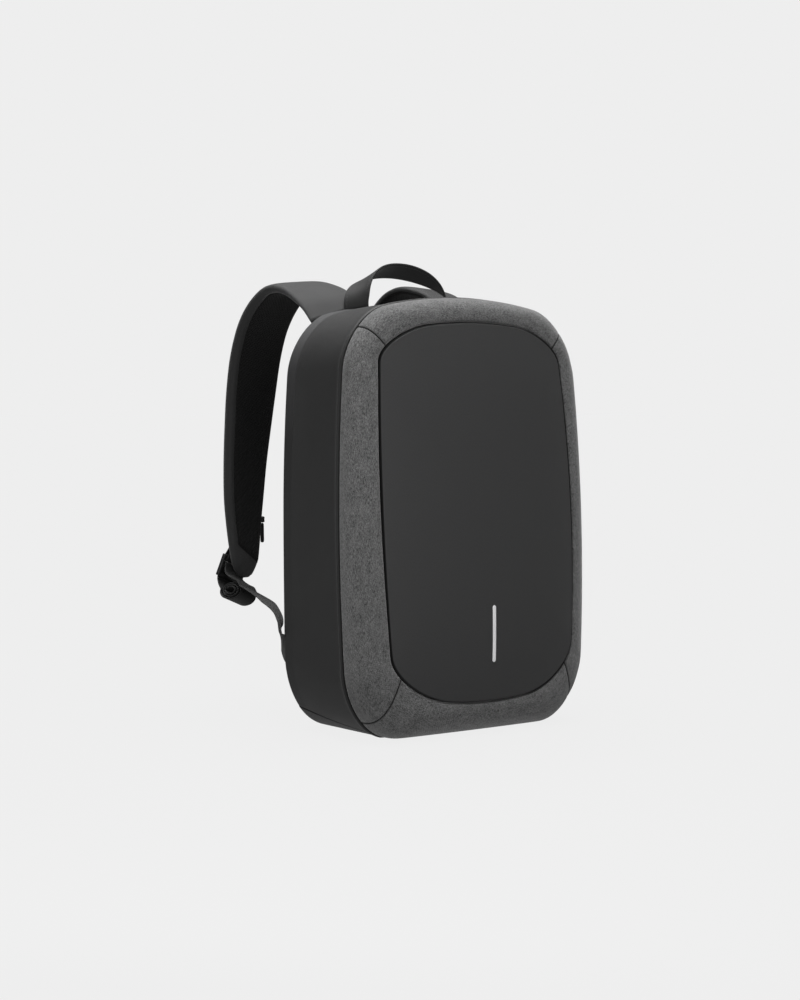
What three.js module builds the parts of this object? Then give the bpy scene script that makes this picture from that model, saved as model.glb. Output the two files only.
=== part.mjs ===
// Anti theft backpack: a hollow clamshell body of padded cloth walls, a domed front panel, two arched
// shoulder straps with rolled adjuster webbing, and a carry handle.
// Millimetres. +X is right seen from the front, the front faces -Y, +Z is up.
// The origin is the middle of the flat base.

import * as THREE from "three";
import { mergeVertices } from "three/addons/utils/BufferGeometryUtils.js";

// Body
const bodyWidth = 300;
const bodyHeight = 440;
const gussetDepth = 101;
const seamLean = 0.011;
const backNarrowing = 1;
const backDrop = 5;
const backRimRound = 3;
const baseRimRound = 1;
const creaseDepth = 17;

// Front: the domed panel and the padded ring round it
const frontRise = 43.5;
const frontLean = 0.07;
const crownAcross = 8.4;
const crownUp = 8;
const panelSwell = 6;
const ringSide = 28;
const ringHead = 25;
const ringFoot = 34;
const ringFullness = 2.57;

// Walls
const bandWall = 5;
const ringWall = 7;
const panelWall = 8;
const backWall = 6;
const backCrown = 6;
const backEdgeSink = 1;
const seamGap = 0.3;

// Light bar on the front panel
const barLength = 57;
const barWidth = 4;
const barThickness = 0.8;
const barBottom = 74;
const barOffset = 2.5;

// Shoulder straps
const strapWidth = 63;
const strapThickness = 14;
const strapReach = 185;
const strapRise = 21;
const strapEndHeight = 141;
const strapSpread = 81.5;
const liningThickness = 2.5;
const liningBorder = 7;

// Webbing and ladder lock
const webbingWidth = 25;
const webbingThickness = 1.6;
const webbingClearance = 0.4;
const anchorHeight = 83;
const lockWidth = 33;
const lockHeight = 25;
const lockThickness = 5;
const lockBar = 3.6;
const lockShift = 5.5;
const lockStandOff = 2;
const lockRaise = 7.6;
const lockTilt = THREE.MathUtils.degToRad(23);
const loopLength = 34;
const rollRadius = 10.5;
const rollCore = 3;
const rollDrop = 26.5;
const rollTuck = 27.5;

// Zip slider and pull on the strap pocket
const pullHeight = 203;
const sliderLength = 7;
const sliderWidth = 5;
const pullLength = 22;
const pullWidth = 3.4;
const pullThickness = 1.6;

// Carry handle
const handleSpan = 122;
const handleRise = 39.5;
const handleWidth = 26;
const handleThickness = 2.4;
const handleFootDepth = 9;
const handleLean = 18;
const handlePoint = 1.25;

// How finely curves are cut
const stepsPerSide = 8;
const ringSteps = 6;
const risingSteps = 14;
const rollTurns = 3;
const rollStepsPerTurn = 14;

const midHeight = bodyHeight / 2;
const backPlane = gussetDepth / 2;
const panelWidth = bodyWidth - 2 * ringSide;
const panelBottom = ringFoot;
const panelTop = bodyHeight - ringHead;
const strapPeak = bodyHeight + strapRise;

// Colours
const panelCloth = { color: 0x3a3a3b, roughness: 0.62 };
const gussetCloth = { color: 0x2b2b2c, roughness: 0.66 };
const melange = { color: 0x5c5c5d, roughness: 0.92 };
const strapCloth = { color: 0x2e2e2f, roughness: 0.8 };
const spacerMesh = { color: 0x0c0c0c, roughness: 0.95 };
const webbing = { color: 0x3c3c3d, roughness: 0.85 };
const lockPlastic = { color: 0x141414, roughness: 0.45 };
const reflective = { color: 0xc4c4c4, roughness: 0.35 };

const bag = new THREE.Group();

function addPiece(name, geometry, look) {
  const material = new THREE.MeshStandardMaterial({ metalness: 0, ...look });
  const mesh = new THREE.Mesh(geometry, material);
  mesh.name = name;
  bag.add(mesh);
  return mesh;
}

function lerp(from, to, share) {
  return from + (to - from) * share;
}

// Evenly spaced shares from 0 to 1.
function shares(count) {
  return Array.from({ length: count + 1 }, (_, i) => i / count);
}

function signedVolume(points, faces) {
  const cross = new THREE.Vector3();
  return faces.reduce((sum, [a, b, c]) => sum + points[a].dot(cross.crossVectors(points[b], points[c])) / 6, 0);
}

// A closed body through a row of closed loops, each with the same even number of points. The first and
// last loops are closed by strips that join each point to the one across the loop.
function loft(loops) {
  const size = loops[0].length;
  const points = loops.flat();
  const faces = [];
  const quad = (a, b, c, d) => faces.push([a, b, c], [a, c, d]);
  for (let row = 0; row + 1 < loops.length; row++) {
    for (let i = 0; i < size; i++) {
      const next = (i + 1) % size;
      quad(row * size + i, row * size + next, (row + 1) * size + next, (row + 1) * size + i);
    }
  }
  const last = (loops.length - 1) * size;
  for (let i = 0; i < size / 2 - 1; i++) {
    quad(i, size - 1 - i, size - 2 - i, i + 1);
    quad(last + i, last + i + 1, last + size - 2 - i, last + size - 1 - i);
  }
  if (signedVolume(points, faces) < 0) faces.forEach((face) => face.reverse());
  const geometry = new THREE.BufferGeometry();
  geometry.setAttribute("position", new THREE.Float32BufferAttribute(points.flatMap((p) => p.toArray()), 3));
  geometry.setIndex(faces.flat());
  const merged = mergeVertices(geometry, 1e-4);
  merged.computeVertexNormals();
  return merged;
}

// Outlines of the body, seen from the front: a rounded rectangle whose sides and ends are bowed outwards.
// Corners and bows are shares of half the width (across, side, foot) and half the height (up, top, bottom).
// The sides bow by side above the middle and by foot below it.
function outline(width, bottom, top, shape) {
  const [halfWidth, halfHeight] = [width / 2, (top - bottom) / 2];
  const corner = ({ across, up }) => ({ across: across * halfWidth, up: up * halfHeight });
  const { side, foot, top: over, bottom: under } = shape.bow;
  return {
    width, bottom, top, topCorner: corner(shape.topCorner), bottomCorner: corner(shape.bottomCorner),
    bow: { side: side * halfWidth, foot: foot * halfWidth, top: over * halfHeight, bottom: under * halfHeight },
  };
}

const bodyShape = {
  topCorner: { across: 0.34, up: 0.267 }, bottomCorner: { across: 0.329, up: 0.293 },
  bow: { side: 0.064, foot: 0.064, top: 0.098, bottom: 0 },
};
const backShape = {
  topCorner: bodyShape.topCorner, bottomCorner: { across: 0.335, up: 0.325 }, bow: { ...bodyShape.bow, foot: 0.02 },
};
const panelShape = {
  topCorner: { across: 0.549, up: 0.151 }, bottomCorner: { across: 0.61, up: 0.22 },
  bow: { side: 0.074, foot: 0.074, top: 0.072, bottom: 0.069 },
};
const seamForm = outline(bodyWidth, 0, bodyHeight, bodyShape);
const backForm = outline(bodyWidth - 2 * backNarrowing, 0, bodyHeight - backDrop, backShape);
const panelForm = outline(panelWidth, panelBottom, panelTop, panelShape);

function inset(form, depth) {
  const shrink = (corner) => ({ across: corner.across - depth, up: corner.up - depth });
  return {
    ...form, width: form.width - 2 * depth, bottom: form.bottom + depth, top: form.top - depth,
    topCorner: shrink(form.topCorner), bottomCorner: shrink(form.bottomCorner),
  };
}

// The outline's point at turn t, which runs 0 to wholeTurn: corners and straight sides take one unit each, from
// the right end of the top right corner, over the top, down the left, along the base and up the right.
const wholeTurn = 8;
const topMiddle = 1.5;
const baseMiddle = 5.5;

function outlinePoint(form, t) {
  const halfWidth = form.width / 2;
  const halfHeight = (form.top - form.bottom) / 2;
  const middle = (form.top + form.bottom) / 2;
  const turn = ((t % wholeTurn) + wholeTurn) % wholeTurn;
  const part = Math.floor(turn);
  const share = turn - part;
  const corner = part < 3 ? form.topCorner : form.bottomCorner;
  let x;
  let z;
  if (part % 2 === 0) {
    const angle = (part / 2 + share) * Math.PI / 2;
    const centreX = (halfWidth - corner.across) * (part === 0 || part === 6 ? 1 : -1);
    const centreZ = (halfHeight - corner.up) * (part < 4 ? 1 : -1);
    x = centreX + corner.across * Math.cos(angle);
    z = centreZ + corner.up * Math.sin(angle);
  } else if (part === 1 || part === 5) {
    x = (halfWidth - corner.across) * (part === 1 ? 1 - 2 * share : 2 * share - 1);
    z = part === 1 ? halfHeight : -halfHeight;
  } else {
    const upper = halfHeight - form.topCorner.up;
    const lower = form.bottomCorner.up - halfHeight;
    x = part === 3 ? -halfWidth : halfWidth;
    z = part === 3 ? lerp(upper, lower, share) : lerp(lower, upper, share);
  }
  const endBow = z > 0 ? form.bow.top : form.bow.bottom;
  const sideBow = z > 0 ? form.bow.side : form.bow.foot;
  return {
    x: x * (1 - sideBow / halfWidth * (z / halfHeight) ** 2),
    z: z * (1 - endBow / halfHeight * (x / halfWidth) ** 2) + middle,
  };
}

// Height of the back outline's top edge at distance x from the middle.
function topHeight(x) {
  return backForm.top - backForm.bow.top * (x / (backForm.width / 2)) ** 2;
}

// Distance of an outline's side from the middle, at height z.
function sideX(form, z) {
  const [middle, halfHeight] = [(form.top + form.bottom) / 2, (form.top - form.bottom) / 2];
  return form.width / 2 - (z > middle ? form.bow.side : form.bow.foot) * ((z - middle) / halfHeight) ** 2;
}

function fullTurn() {
  return shares(wholeTurn * stepsPerSide).slice(0, -1).map((share) => share * wholeTurn);
}

function seamY(z) {
  return -backPlane + seamLean * (z - midHeight);
}

// The front leans back and is crowned both ways.
function frontY(x, z) {
  const across = x / (panelWidth / 2);
  const up = (z - midHeight) / midHeight;
  return -backPlane - frontRise + frontLean * (z - midHeight) + crownAcross * across ** 2 + crownUp * up ** 2;
}

// Turns at which the corner seams of the ring and the seams of the base meet the outlines, on the left.
const cornerSeams = {
  top: { seam: 2.47, panel: 2.68 },
  bottom: { seam: 4.54, panel: 4.33 },
};
const baseSeam = { front: 4.76, back: 4.5 };

// Front panel: a domed wall from its middle to its edge and back again on the inside.
function frontPanel() {
  const form = inset(panelForm, seamGap);
  const centreZ = (panelTop + panelBottom) / 2;
  const turns = fullTurn();
  const loop = (share, depth) => turns.map((t) => {
    const edge = outlinePoint(form, t);
    const x = edge.x * share;
    const z = lerp(centreZ, edge.z, share);
    return new THREE.Vector3(x, frontY(x, z) - panelSwell * (1 - share ** 4) + depth, z);
  });
  const rings = [0.05, 0.3, 0.55, 0.78, 0.93, 1];
  const outer = rings.map((share) => loop(share, 0));
  const inner = [...rings].reverse().map((share) => loop(share, panelWall));
  return loft([...outer, ...inner]);
}

// The ring's section between the gusset seam and the panel's edge is a quarter of a superellipse.
function ringPoint(seamTurn, panelTurn, share, depth) {
  const outer = outlinePoint(inset(seamForm, depth), seamTurn);
  const inner = outlinePoint(panelForm, panelTurn);
  const angle = share * Math.PI / 2;
  const run = Math.cos(angle) ** (2 / ringFullness);
  const rise = Math.sin(angle) ** (2 / ringFullness);
  const startY = seamY(outer.z);
  const endY = frontY(inner.x, inner.z) + depth;
  return new THREE.Vector3(lerp(inner.x, outer.x, run), lerp(startY, endY, rise), lerp(inner.z, outer.z, run));
}

function ringPiece(from, to, steps) {
  const cornerLength = Math.PI / 4 * (seamForm.topCorner.across + seamForm.topCorner.up);
  const trim = seamGap / 2 / cornerLength;
  const loops = shares(steps).map((along) => {
    const seamTurn = lerp(from.seam + trim, to.seam - trim, along);
    const panelTurn = lerp(from.panel + trim, to.panel - trim, along);
    const outer = shares(ringSteps).map((share) => ringPoint(seamTurn, panelTurn, share, 0));
    const inner = shares(ringSteps).reverse().map((share) => ringPoint(seamTurn, panelTurn, share, ringWall));
    return [...outer, ...inner];
  });
  return loft(loops);
}

// Gusset and base: bands that run from the front seam to the rounded back rim.
const bandRows = [
  { back: 0, round: 0 }, { back: 0.4, round: 0 }, { back: 1 - creaseDepth / gussetDepth, round: 0 },
  { back: 0.97, round: 0.2 }, { back: 1, round: 1 },
];

function bandPoint(t, row, depth, rim) {
  const sunk = depth + row.round * rim;
  const front = outlinePoint(inset(seamForm, sunk), t);
  const rear = outlinePoint(inset(backForm, sunk), t);
  const y = lerp(seamY(front.z) + seamGap, backPlane, row.back);
  return new THREE.Vector3(lerp(front.x, rear.x, row.back), y, lerp(front.z, rear.z, row.back));
}

function bodyBand(from, to, steps, wall, rim) {
  const trim = seamGap / 2 / (Math.PI / 4 * (seamForm.bottomCorner.across + seamForm.bottomCorner.up));
  const loops = shares(steps).map((along) => {
    const turn = (row) => lerp(
      lerp(from.front, from.back, row.back) + trim, lerp(to.front, to.back, row.back) - trim, along);
    const outer = bandRows.map((row) => bandPoint(turn(row), row, 0, rim));
    const inner = [...bandRows].reverse().map((row) => bandPoint(turn(row), row, wall, 0));
    return [...outer, ...inner];
  });
  return loft(loops);
}

// Back panel: a padded plate inside the rim, crowned towards the wearer.
function backPanel() {
  const form = inset(backForm, bandWall + seamGap);
  const centreZ = (form.top + form.bottom) / 2;
  const turns = fullTurn();
  const flatBorder = 0.93;
  const loop = (share, y) => turns.map((t) => {
    const edge = outlinePoint(form, t);
    return new THREE.Vector3(edge.x * share, y, lerp(centreZ, edge.z, share));
  });
  const rise = (share) => backPlane - backEdgeSink + backCrown * (1 - Math.min(1, share / flatBorder) ** 4);
  const outer = [0.05, 0.4, 0.65, 0.82, flatBorder, 1].map((share) => loop(share, rise(share)));
  const inner = [1, 0.05].map((share) => loop(share, backPlane - backWall));
  return loft([...outer, ...inner]);
}

// Light bar: a round-ended strip that follows the dome of the panel.
function lightBar() {
  const rows = shares(6).map((share) => {
    const fromEnd = Math.min(share, 1 - share) * barLength;
    const half = fromEnd === 0 ? barWidth / 4 : barWidth / 2;
    const z = barBottom + share * barLength;
    const centreZ = (panelTop + panelBottom) / 2;
    const edgeShare = (centreZ - z) / (centreZ - panelBottom);
    const face = frontY(0, z) - panelSwell * (1 - edgeShare ** 4) - seamGap;
    return [
      new THREE.Vector3(barOffset - half, face, z), new THREE.Vector3(barOffset + half, face, z),
      new THREE.Vector3(barOffset + half, face - barThickness, z),
      new THREE.Vector3(barOffset - half, face - barThickness, z),
    ];
  });
  return loft(rows);
}

// Shoulder strap stations down its outer face. back: distance behind the body as a share of strapReach.
// up: height as a share of the way from the strap's end to its peak. spread, width and thick: the centre
// line's distance from the middle, the width and the thickness as shares of strapSpread, strapWidth and
// strapThickness. tilt: how far the inner edge stands above the outer edge, as a share of strapWidth.
const strapTable = [
  { back: 0.002, up: 0.9, spread: 1.0, width: 1.04, thick: 0.42, tilt: 0.26 },
  { back: 0.075, up: 0.937, spread: 1.0, width: 1.03, thick: 0.5, tilt: 0.22 },
  { back: 0.17, up: 0.965, spread: 0.99, width: 1.02, thick: 0.56, tilt: 0.17 },
  { back: 0.28, up: 0.988, spread: 0.98, width: 1.02, thick: 0.62, tilt: 0.1 },
  { back: 0.39, up: 1.0, spread: 0.97, width: 1.02, thick: 0.68, tilt: 0.08 },
  { back: 0.49, up: 0.997, spread: 0.97, width: 1.02, thick: 0.74, tilt: 0.07 },
  { back: 0.58, up: 0.98, spread: 0.96, width: 1.02, thick: 0.8, tilt: 0.06 },
  { back: 0.675, up: 0.945, spread: 0.96, width: 1.02, thick: 0.86, tilt: 0.04 },
  { back: 0.76, up: 0.9, spread: 0.96, width: 1.01, thick: 0.92, tilt: 0.02 },
  { back: 0.84, up: 0.84, spread: 0.95, width: 1.0, thick: 0.97, tilt: 0 },
  { back: 0.905, up: 0.75, spread: 0.95, width: 1.0, thick: 1, tilt: 0 },
  { back: 0.95, up: 0.64, spread: 0.95, width: 0.98, thick: 1, tilt: 0 },
  { back: 0.98, up: 0.52, spread: 0.96, width: 0.92, thick: 1, tilt: 0 },
  { back: 0.997, up: 0.4, spread: 0.98, width: 0.85, thick: 0.98, tilt: 0 },
  { back: 1.0, up: 0.28, spread: 1.0, width: 0.78, thick: 0.94, tilt: 0 },
  { back: 0.995, up: 0.19, spread: 1.01, width: 0.69, thick: 0.9, tilt: 0 },
  { back: 0.98, up: 0.11, spread: 1.02, width: 0.6, thick: 0.84, tilt: 0 },
  { back: 0.962, up: 0.045, spread: 1.03, width: 0.5, thick: 0.7, tilt: 0 },
  { back: 0.945, up: 0.0, spread: 1.04, width: 0.34, thick: 0.4, tilt: 0 },
];

// The strap's frames: a point on the outer face, the direction across it and the direction into it.
const strapFrames = strapTable.map((row, i) => {
  const place = ({ back, up }) => new THREE.Vector3(
    0, backPlane + back * strapReach, lerp(strapEndHeight, strapPeak, up));
  const before = place(strapTable[Math.max(0, i - 1)]);
  const after = place(strapTable[Math.min(strapTable.length - 1, i + 1)]);
  const along = after.sub(before).normalize();
  const point = place(row);
  point.x = row.spread * strapSpread;
  const into = new THREE.Vector3(0, along.z, -along.y);
  const across = new THREE.Vector3(-1, 0, row.tilt).normalize();
  return { point, across, into, width: row.width * strapWidth, thickness: row.thick * strapThickness };
});

// A section with soft edges: a superellipse of the given width from depth `from` to depth `to`.
function softSection(frame, width, from, to, count, side) {
  const fullness = 3.4;
  return shares(count).slice(0, -1).map((share) => {
    const angle = (share + 0.5 / count) * 2 * Math.PI;
    const bend = (value) => Math.sign(value) * Math.abs(value) ** (2 / fullness);
    const across = bend(Math.cos(angle)) * width / 2;
    const into = lerp(from, to, (bend(Math.sin(angle)) + 1) / 2);
    const point = frame.point.clone().addScaledVector(frame.across, across).addScaledVector(frame.into, into);
    point.x *= side;
    return point;
  });
}

function strapPad(side) {
  return loft(strapFrames.map((frame) => softSection(frame, frame.width, 0, frame.thickness, 12, side)));
}

function strapLining(side) {
  const frames = strapFrames.slice(2, -2);
  return loft(frames.map((frame) => softSection(
    frame, frame.width - 2 * liningBorder, frame.thickness + seamGap,
    frame.thickness + seamGap + liningThickness, 8, side)));
}

// A flat ribbon through frames that give its middle, its width direction and its thickness direction.
function ribbon(frames, width, thickness, side) {
  const corners = [[-1, -1], [1, -1], [1, 1], [-1, 1]];
  return loft(frames.map(({ middle, across, through }) => corners.map(([u, v]) => {
    const point = middle.clone().addScaledVector(across, u * width / 2);
    point.addScaledVector(through, v * thickness / 2);
    point.x *= side;
    return point;
  })));
}

// Ladder lock: a frame of three bars behind the strap's end, its plane facing the wearer. The pull of the
// webbing tilts it, so what goes through it is laid out upright round its centre and then tilted.
const strapEnd = strapFrames.at(-1).point;
const lockCentre = new THREE.Vector3(
  strapEnd.x + lockShift, backPlane + strapReach + lockStandOff + lockThickness / 2, strapEndHeight + lockRaise);
const slotHeight = (lockHeight - 3 * lockBar) / 2;

function tiltVector({ x, y, z }) {
  const [cosine, sine] = [Math.cos(lockTilt), Math.sin(lockTilt)];
  return new THREE.Vector3(x * cosine - z * sine, y, x * sine + z * cosine);
}

function tiltPoint(point) {
  return tiltVector(point.clone().sub(lockCentre)).add(lockCentre);
}

function rectangle(path, width, height, centre) {
  path.moveTo(-width / 2, centre - height / 2);
  path.lineTo(width / 2, centre - height / 2);
  path.lineTo(width / 2, centre + height / 2);
  path.lineTo(-width / 2, centre + height / 2);
  path.closePath();
  return path;
}

function ladderLock(side) {
  const outline = rectangle(new THREE.Shape(), lockWidth, lockHeight, 0);
  for (const sign of [-1, 1]) {
    const slotWidth = webbingWidth + 2 * webbingClearance;
    outline.holes.push(rectangle(new THREE.Path(), slotWidth, slotHeight, sign * (slotHeight + lockBar) / 2));
  }
  const geometry = new THREE.ExtrudeGeometry(outline, { depth: lockThickness, bevelEnabled: false });
  geometry.rotateX(Math.PI / 2);
  geometry.rotateY(-side * lockTilt);
  geometry.translate(side * lockCentre.x, lockCentre.y + lockThickness / 2, lockCentre.z);
  return geometry;
}

// Tilted frames of a ribbon that runs along points [y, z] in the upright plane through the lock's middle.
function lockFrames(points) {
  return points.map(([y, z], i) => {
    const before = points[Math.max(0, i - 1)];
    const after = points[Math.min(points.length - 1, i + 1)];
    const along = new THREE.Vector3(0, after[0] - before[0], after[1] - before[1]).normalize();
    return {
      middle: tiltPoint(new THREE.Vector3(lockCentre.x, y, z)),
      across: tiltVector(new THREE.Vector3(-1, 0, 0)),
      through: tiltVector(new THREE.Vector3(0, along.z, -along.y)),
    };
  });
}

// Half a turn round a bar, from its inner side to its outer side: sense 1 goes over it, -1 under it.
const halfWebbing = webbingThickness / 2 + webbingClearance;

function roundBar(z, sense) {
  const radius = Math.hypot(lockBar, lockThickness) / 2 + halfWebbing;
  return shares(6).map((share) => {
    const angle = Math.PI * (1 - share);
    return [lockCentre.y + radius * Math.cos(angle), z + sense * radius * Math.sin(angle)];
  });
}

// Route of the adjuster webbing from the body's back seam to the roll, as shares of the way there, and the
// direction of its width. It is cut slantwise at the seam, which makes it wider there.
const webbingTable = [
  { out: 0, back: 0, up: 0, width: 1.25, across: [0, 0, -1] },
  { out: 0, back: 0.065, up: 0.22, width: 1, across: [-0.45, 0.4, -0.75] },
  { out: 0.01, back: 0.095, up: 0.46, width: 1, across: [-0.55, 0.65, -0.4] },
  { out: 0.04, back: 0.13, up: 0.6, width: 1, across: [-0.6, 0.65, -0.4] },
  { out: 0.13, back: 0.2, up: 0.71, width: 1, across: [-0.7, 0.5, -0.5] },
  { out: 0.35, back: 0.37, up: 0.81, width: 1, across: [-0.85, 0.15, -0.5] },
  { out: 0.65, back: 0.6, up: 0.89, width: 1, across: [-0.92, -0.1, -0.38] },
  { out: 1, back: 1, up: 1, width: 1, across: [-Math.cos(lockTilt), 0, -Math.sin(lockTilt)] },
];
const rimX = sideX(inset(backForm, backRimRound), anchorHeight);
const anchor = new THREE.Vector3(rimX - webbingThickness / 2, backPlane + seamGap, anchorHeight);
const rollCentre = { y: lockCentre.y - rollTuck, z: lockCentre.z - rollDrop };
const rollClear = rollRadius + halfWebbing;

function risingFrames() {
  const entry = tiltPoint(new THREE.Vector3(
    lockCentre.x, rollCentre.y - rollClear, rollCentre.z + 0.65 * rollRadius));
  const rise = entry.sub(anchor);
  const place = ({ out, back, up }) => anchor.clone().add(new THREE.Vector3(out, back, up).multiply(rise));
  const path = new THREE.CatmullRomCurve3(webbingTable.map(place));
  return shares(risingSteps).slice(0, -1).map((share) => {
    const station = share * (webbingTable.length - 1);
    const [before, after] = [webbingTable[Math.floor(station)], webbingTable[Math.ceil(station)]];
    const across = new THREE.Vector3(...before.across).lerp(new THREE.Vector3(...after.across), station % 1);
    const tangent = path.getTangent(share);
    if (share > 0) across.addScaledVector(tangent, -across.dot(tangent));
    across.normalize();
    const through = across.clone().cross(tangent).normalize();
    across.multiplyScalar(lerp(before.width, after.width, station % 1));
    return { middle: path.getPoint(share), across, through };
  });
}

// Adjuster webbing: it rises from the seam, passes over the roll and up behind the lock, turns over the
// lock's middle bar, comes down outside and ends in the roll.
function adjusterWebbing(side) {
  const lockOutside = lockCentre.y + lockThickness / 2 + halfWebbing;
  const lockFoot = lockCentre.z - lockHeight / 2;
  const spiral = shares(rollTurns * rollStepsPerTurn).map((share) => {
    const angle = -share * rollTurns * 2 * Math.PI;
    const radius = lerp(rollRadius, rollCore, share);
    return [rollCentre.y + radius * Math.cos(angle), rollCentre.z + radius * Math.sin(angle)];
  });
  const throughLock = lockFrames([
    [rollCentre.y - rollClear, rollCentre.z + 0.65 * rollRadius],
    [rollCentre.y - 0.5 * rollClear, rollCentre.z + 0.98 * rollClear],
    [rollCentre.y + 0.1 * rollClear, rollCentre.z + 1.15 * rollClear],
    [lerp(rollCentre.y, lockCentre.y, 0.65), lockFoot + 1.2 * lockBar],
    ...roundBar(lockCentre.z, 1),
    [lockOutside, lockCentre.z],
    [lockOutside, lockFoot],
    [lerp(rollCentre.y + rollRadius, lockOutside, 0.55), lerp(rollCentre.z, lockFoot, 0.4)],
    ...spiral,
  ]);
  return ribbon([...risingFrames(), ...throughLock], webbingWidth, webbingThickness, side);
}

// Lock loop: short webbing that holds the lock to the outer face of the strap.
function lockLoop(side) {
  const topBar = lockCentre.z + lockHeight / 2 - lockBar / 2;
  const seat = backPlane + strapReach + halfWebbing;
  const layer = webbingThickness + webbingClearance;
  return ribbon(lockFrames([
    [seat, topBar + loopLength],
    [seat, topBar + 0.4 * loopLength],
    ...roundBar(topBar, -1),
    [seat + layer, topBar + 0.5 * loopLength],
    [seat + layer, topBar + loopLength],
  ]), webbingWidth, webbingThickness, side);
}

// Zip slider and pull on the strap's inner edge.
const nextBelow = strapFrames.findLastIndex((frame) => frame.point.z >= pullHeight) + 1;
const [above, below] = [strapFrames[nextBelow - 1], strapFrames[nextBelow]];
const pullShare = (above.point.z - pullHeight) / (above.point.z - below.point.z);
const innerEdge = (frame) => frame.point.x - frame.width / 2;
const pullX = lerp(innerEdge(above), innerEdge(below), pullShare) - sliderWidth / 2 - seamGap;
const pullY = lerp(above.point.y, below.point.y, pullShare) - lerp(above.thickness, below.thickness, pullShare) / 2;

function block(width, depth, height, z, side) {
  const geometry = new THREE.BoxGeometry(width, depth, height);
  geometry.translate(side * pullX, pullY, z);
  return geometry;
}

// Carry handle: an arch of flat webbing whose width turns from slantwise at the feet to fore and aft.
const handleTable = [
  { turn: 0.0, slant: 0 }, { turn: 0.1, slant: 0.05 }, { turn: 0.22, slant: 0.15 }, { turn: 0.36, slant: 0.33 },
  { turn: 0.5, slant: 0.52 }, { turn: 0.64, slant: 0.7 }, { turn: 0.78, slant: 0.86 }, { turn: 0.9, slant: 0.96 },
  { turn: 1.0, slant: 1 },
];
const footAcross = new THREE.Vector3(0.81, -0.58, 0.15);
const topAcross = new THREE.Vector3(0, -0.84, 0.54);

function handle() {
  const footHeight = topHeight(handleSpan / 2) + seamGap + handleThickness / 2;
  const place = ({ turn, slant }) => {
    const angle = turn * Math.PI / 2;
    return new THREE.Vector3(
      -handleSpan / 2 * Math.max(0, Math.cos(angle)) ** handlePoint,
      backPlane - handleFootDepth + handleLean * slant,
      footHeight + handleRise * Math.sin(angle));
  };
  const half = handleTable.map((row, i) => {
    const middle = place(row);
    const before = place(handleTable[Math.max(0, i - 1)]);
    const after = i + 1 < handleTable.length ? place(handleTable[i + 1]) : new THREE.Vector3(-before.x, before.y, before.z);
    const along = after.sub(before).normalize();
    const across = footAcross.clone().lerp(topAcross, row.slant);
    across.addScaledVector(along, -across.dot(along) * Math.min(1, row.turn * 4));
    across.normalize();
    return { middle, across, through: across.clone().cross(along).normalize() };
  });
  const mirror = ({ x, y, z }) => new THREE.Vector3(-x, y, z);
  const mirrored = half.slice(0, -1).reverse().map(({ middle, across, through }) => ({
    middle: mirror(middle), across: mirror(across), through: mirror(through),
  }));
  return ribbon([...half, ...mirrored], handleWidth, handleThickness, 1);
}

addPiece("front_panel", frontPanel(), panelCloth);
addPiece("light_bar", lightBar(), reflective);

const topLeft = cornerSeams.top;
const bottomLeft = cornerSeams.bottom;
const mirrorTop = (t) => topMiddle * 2 - t;
const mirrorBottom = (t) => baseMiddle * 2 - t;
const topRight = { seam: mirrorTop(topLeft.seam), panel: mirrorTop(topLeft.panel) };
const bottomRight = { seam: mirrorBottom(bottomLeft.seam), panel: mirrorBottom(bottomLeft.panel) };
const turnBack = ({ seam, panel }) => ({ seam: seam - wholeTurn, panel: panel - wholeTurn });
addPiece("ring_top", ringPiece(topRight, topLeft, 2 * stepsPerSide), melange);
addPiece("ring_left", ringPiece(topLeft, bottomLeft, 2 * stepsPerSide), melange);
addPiece("ring_base", ringPiece(bottomLeft, bottomRight, 2 * stepsPerSide), melange);
addPiece("ring_right", ringPiece(turnBack(bottomRight), topRight, 2 * stepsPerSide), melange);

const leftSeam = baseSeam;
const rightSeam = { front: mirrorBottom(baseSeam.front), back: mirrorBottom(baseSeam.back) };
const rightSeamBelow = { front: rightSeam.front - wholeTurn, back: rightSeam.back - wholeTurn };
addPiece("gusset", bodyBand(rightSeamBelow, leftSeam, 6 * stepsPerSide, bandWall, backRimRound), gussetCloth);
addPiece("base_panel", bodyBand(leftSeam, rightSeam, 2 * stepsPerSide, bandWall, baseRimRound), gussetCloth);
addPiece("back_panel", backPanel(), gussetCloth);
addPiece("carry_handle", handle(), strapCloth);

for (const [name, side] of [["left", -1], ["right", 1]]) {
  addPiece(`strap_pad_${name}`, strapPad(side), strapCloth);
  addPiece(`strap_lining_${name}`, strapLining(side), spacerMesh);
  addPiece(`ladder_lock_${name}`, ladderLock(side), lockPlastic);
  addPiece(`lock_loop_${name}`, lockLoop(side), webbing);
  addPiece(`adjuster_webbing_${name}`, adjusterWebbing(side), webbing);
  const pullZ = pullHeight - sliderLength / 2 - seamGap - pullLength / 2;
  const slider = block(sliderWidth, sliderWidth, sliderLength, pullHeight, side);
  addPiece(`zip_slider_${name}`, slider, lockPlastic);
  addPiece(`zip_pull_${name}`, block(pullWidth, pullThickness, pullLength, pullZ, side), lockPlastic);
}

export default bag;
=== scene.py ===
# Looks of the anti theft backpack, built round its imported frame.
# Shapes are worked out in millimetres and put into meshes in metres.
# +X is right seen from the front, the front faces -Y, +Z is up, and the origin is the middle of the base.

import math

import bmesh
import bpy
import numpy as np
from mathutils import Matrix, Vector


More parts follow.
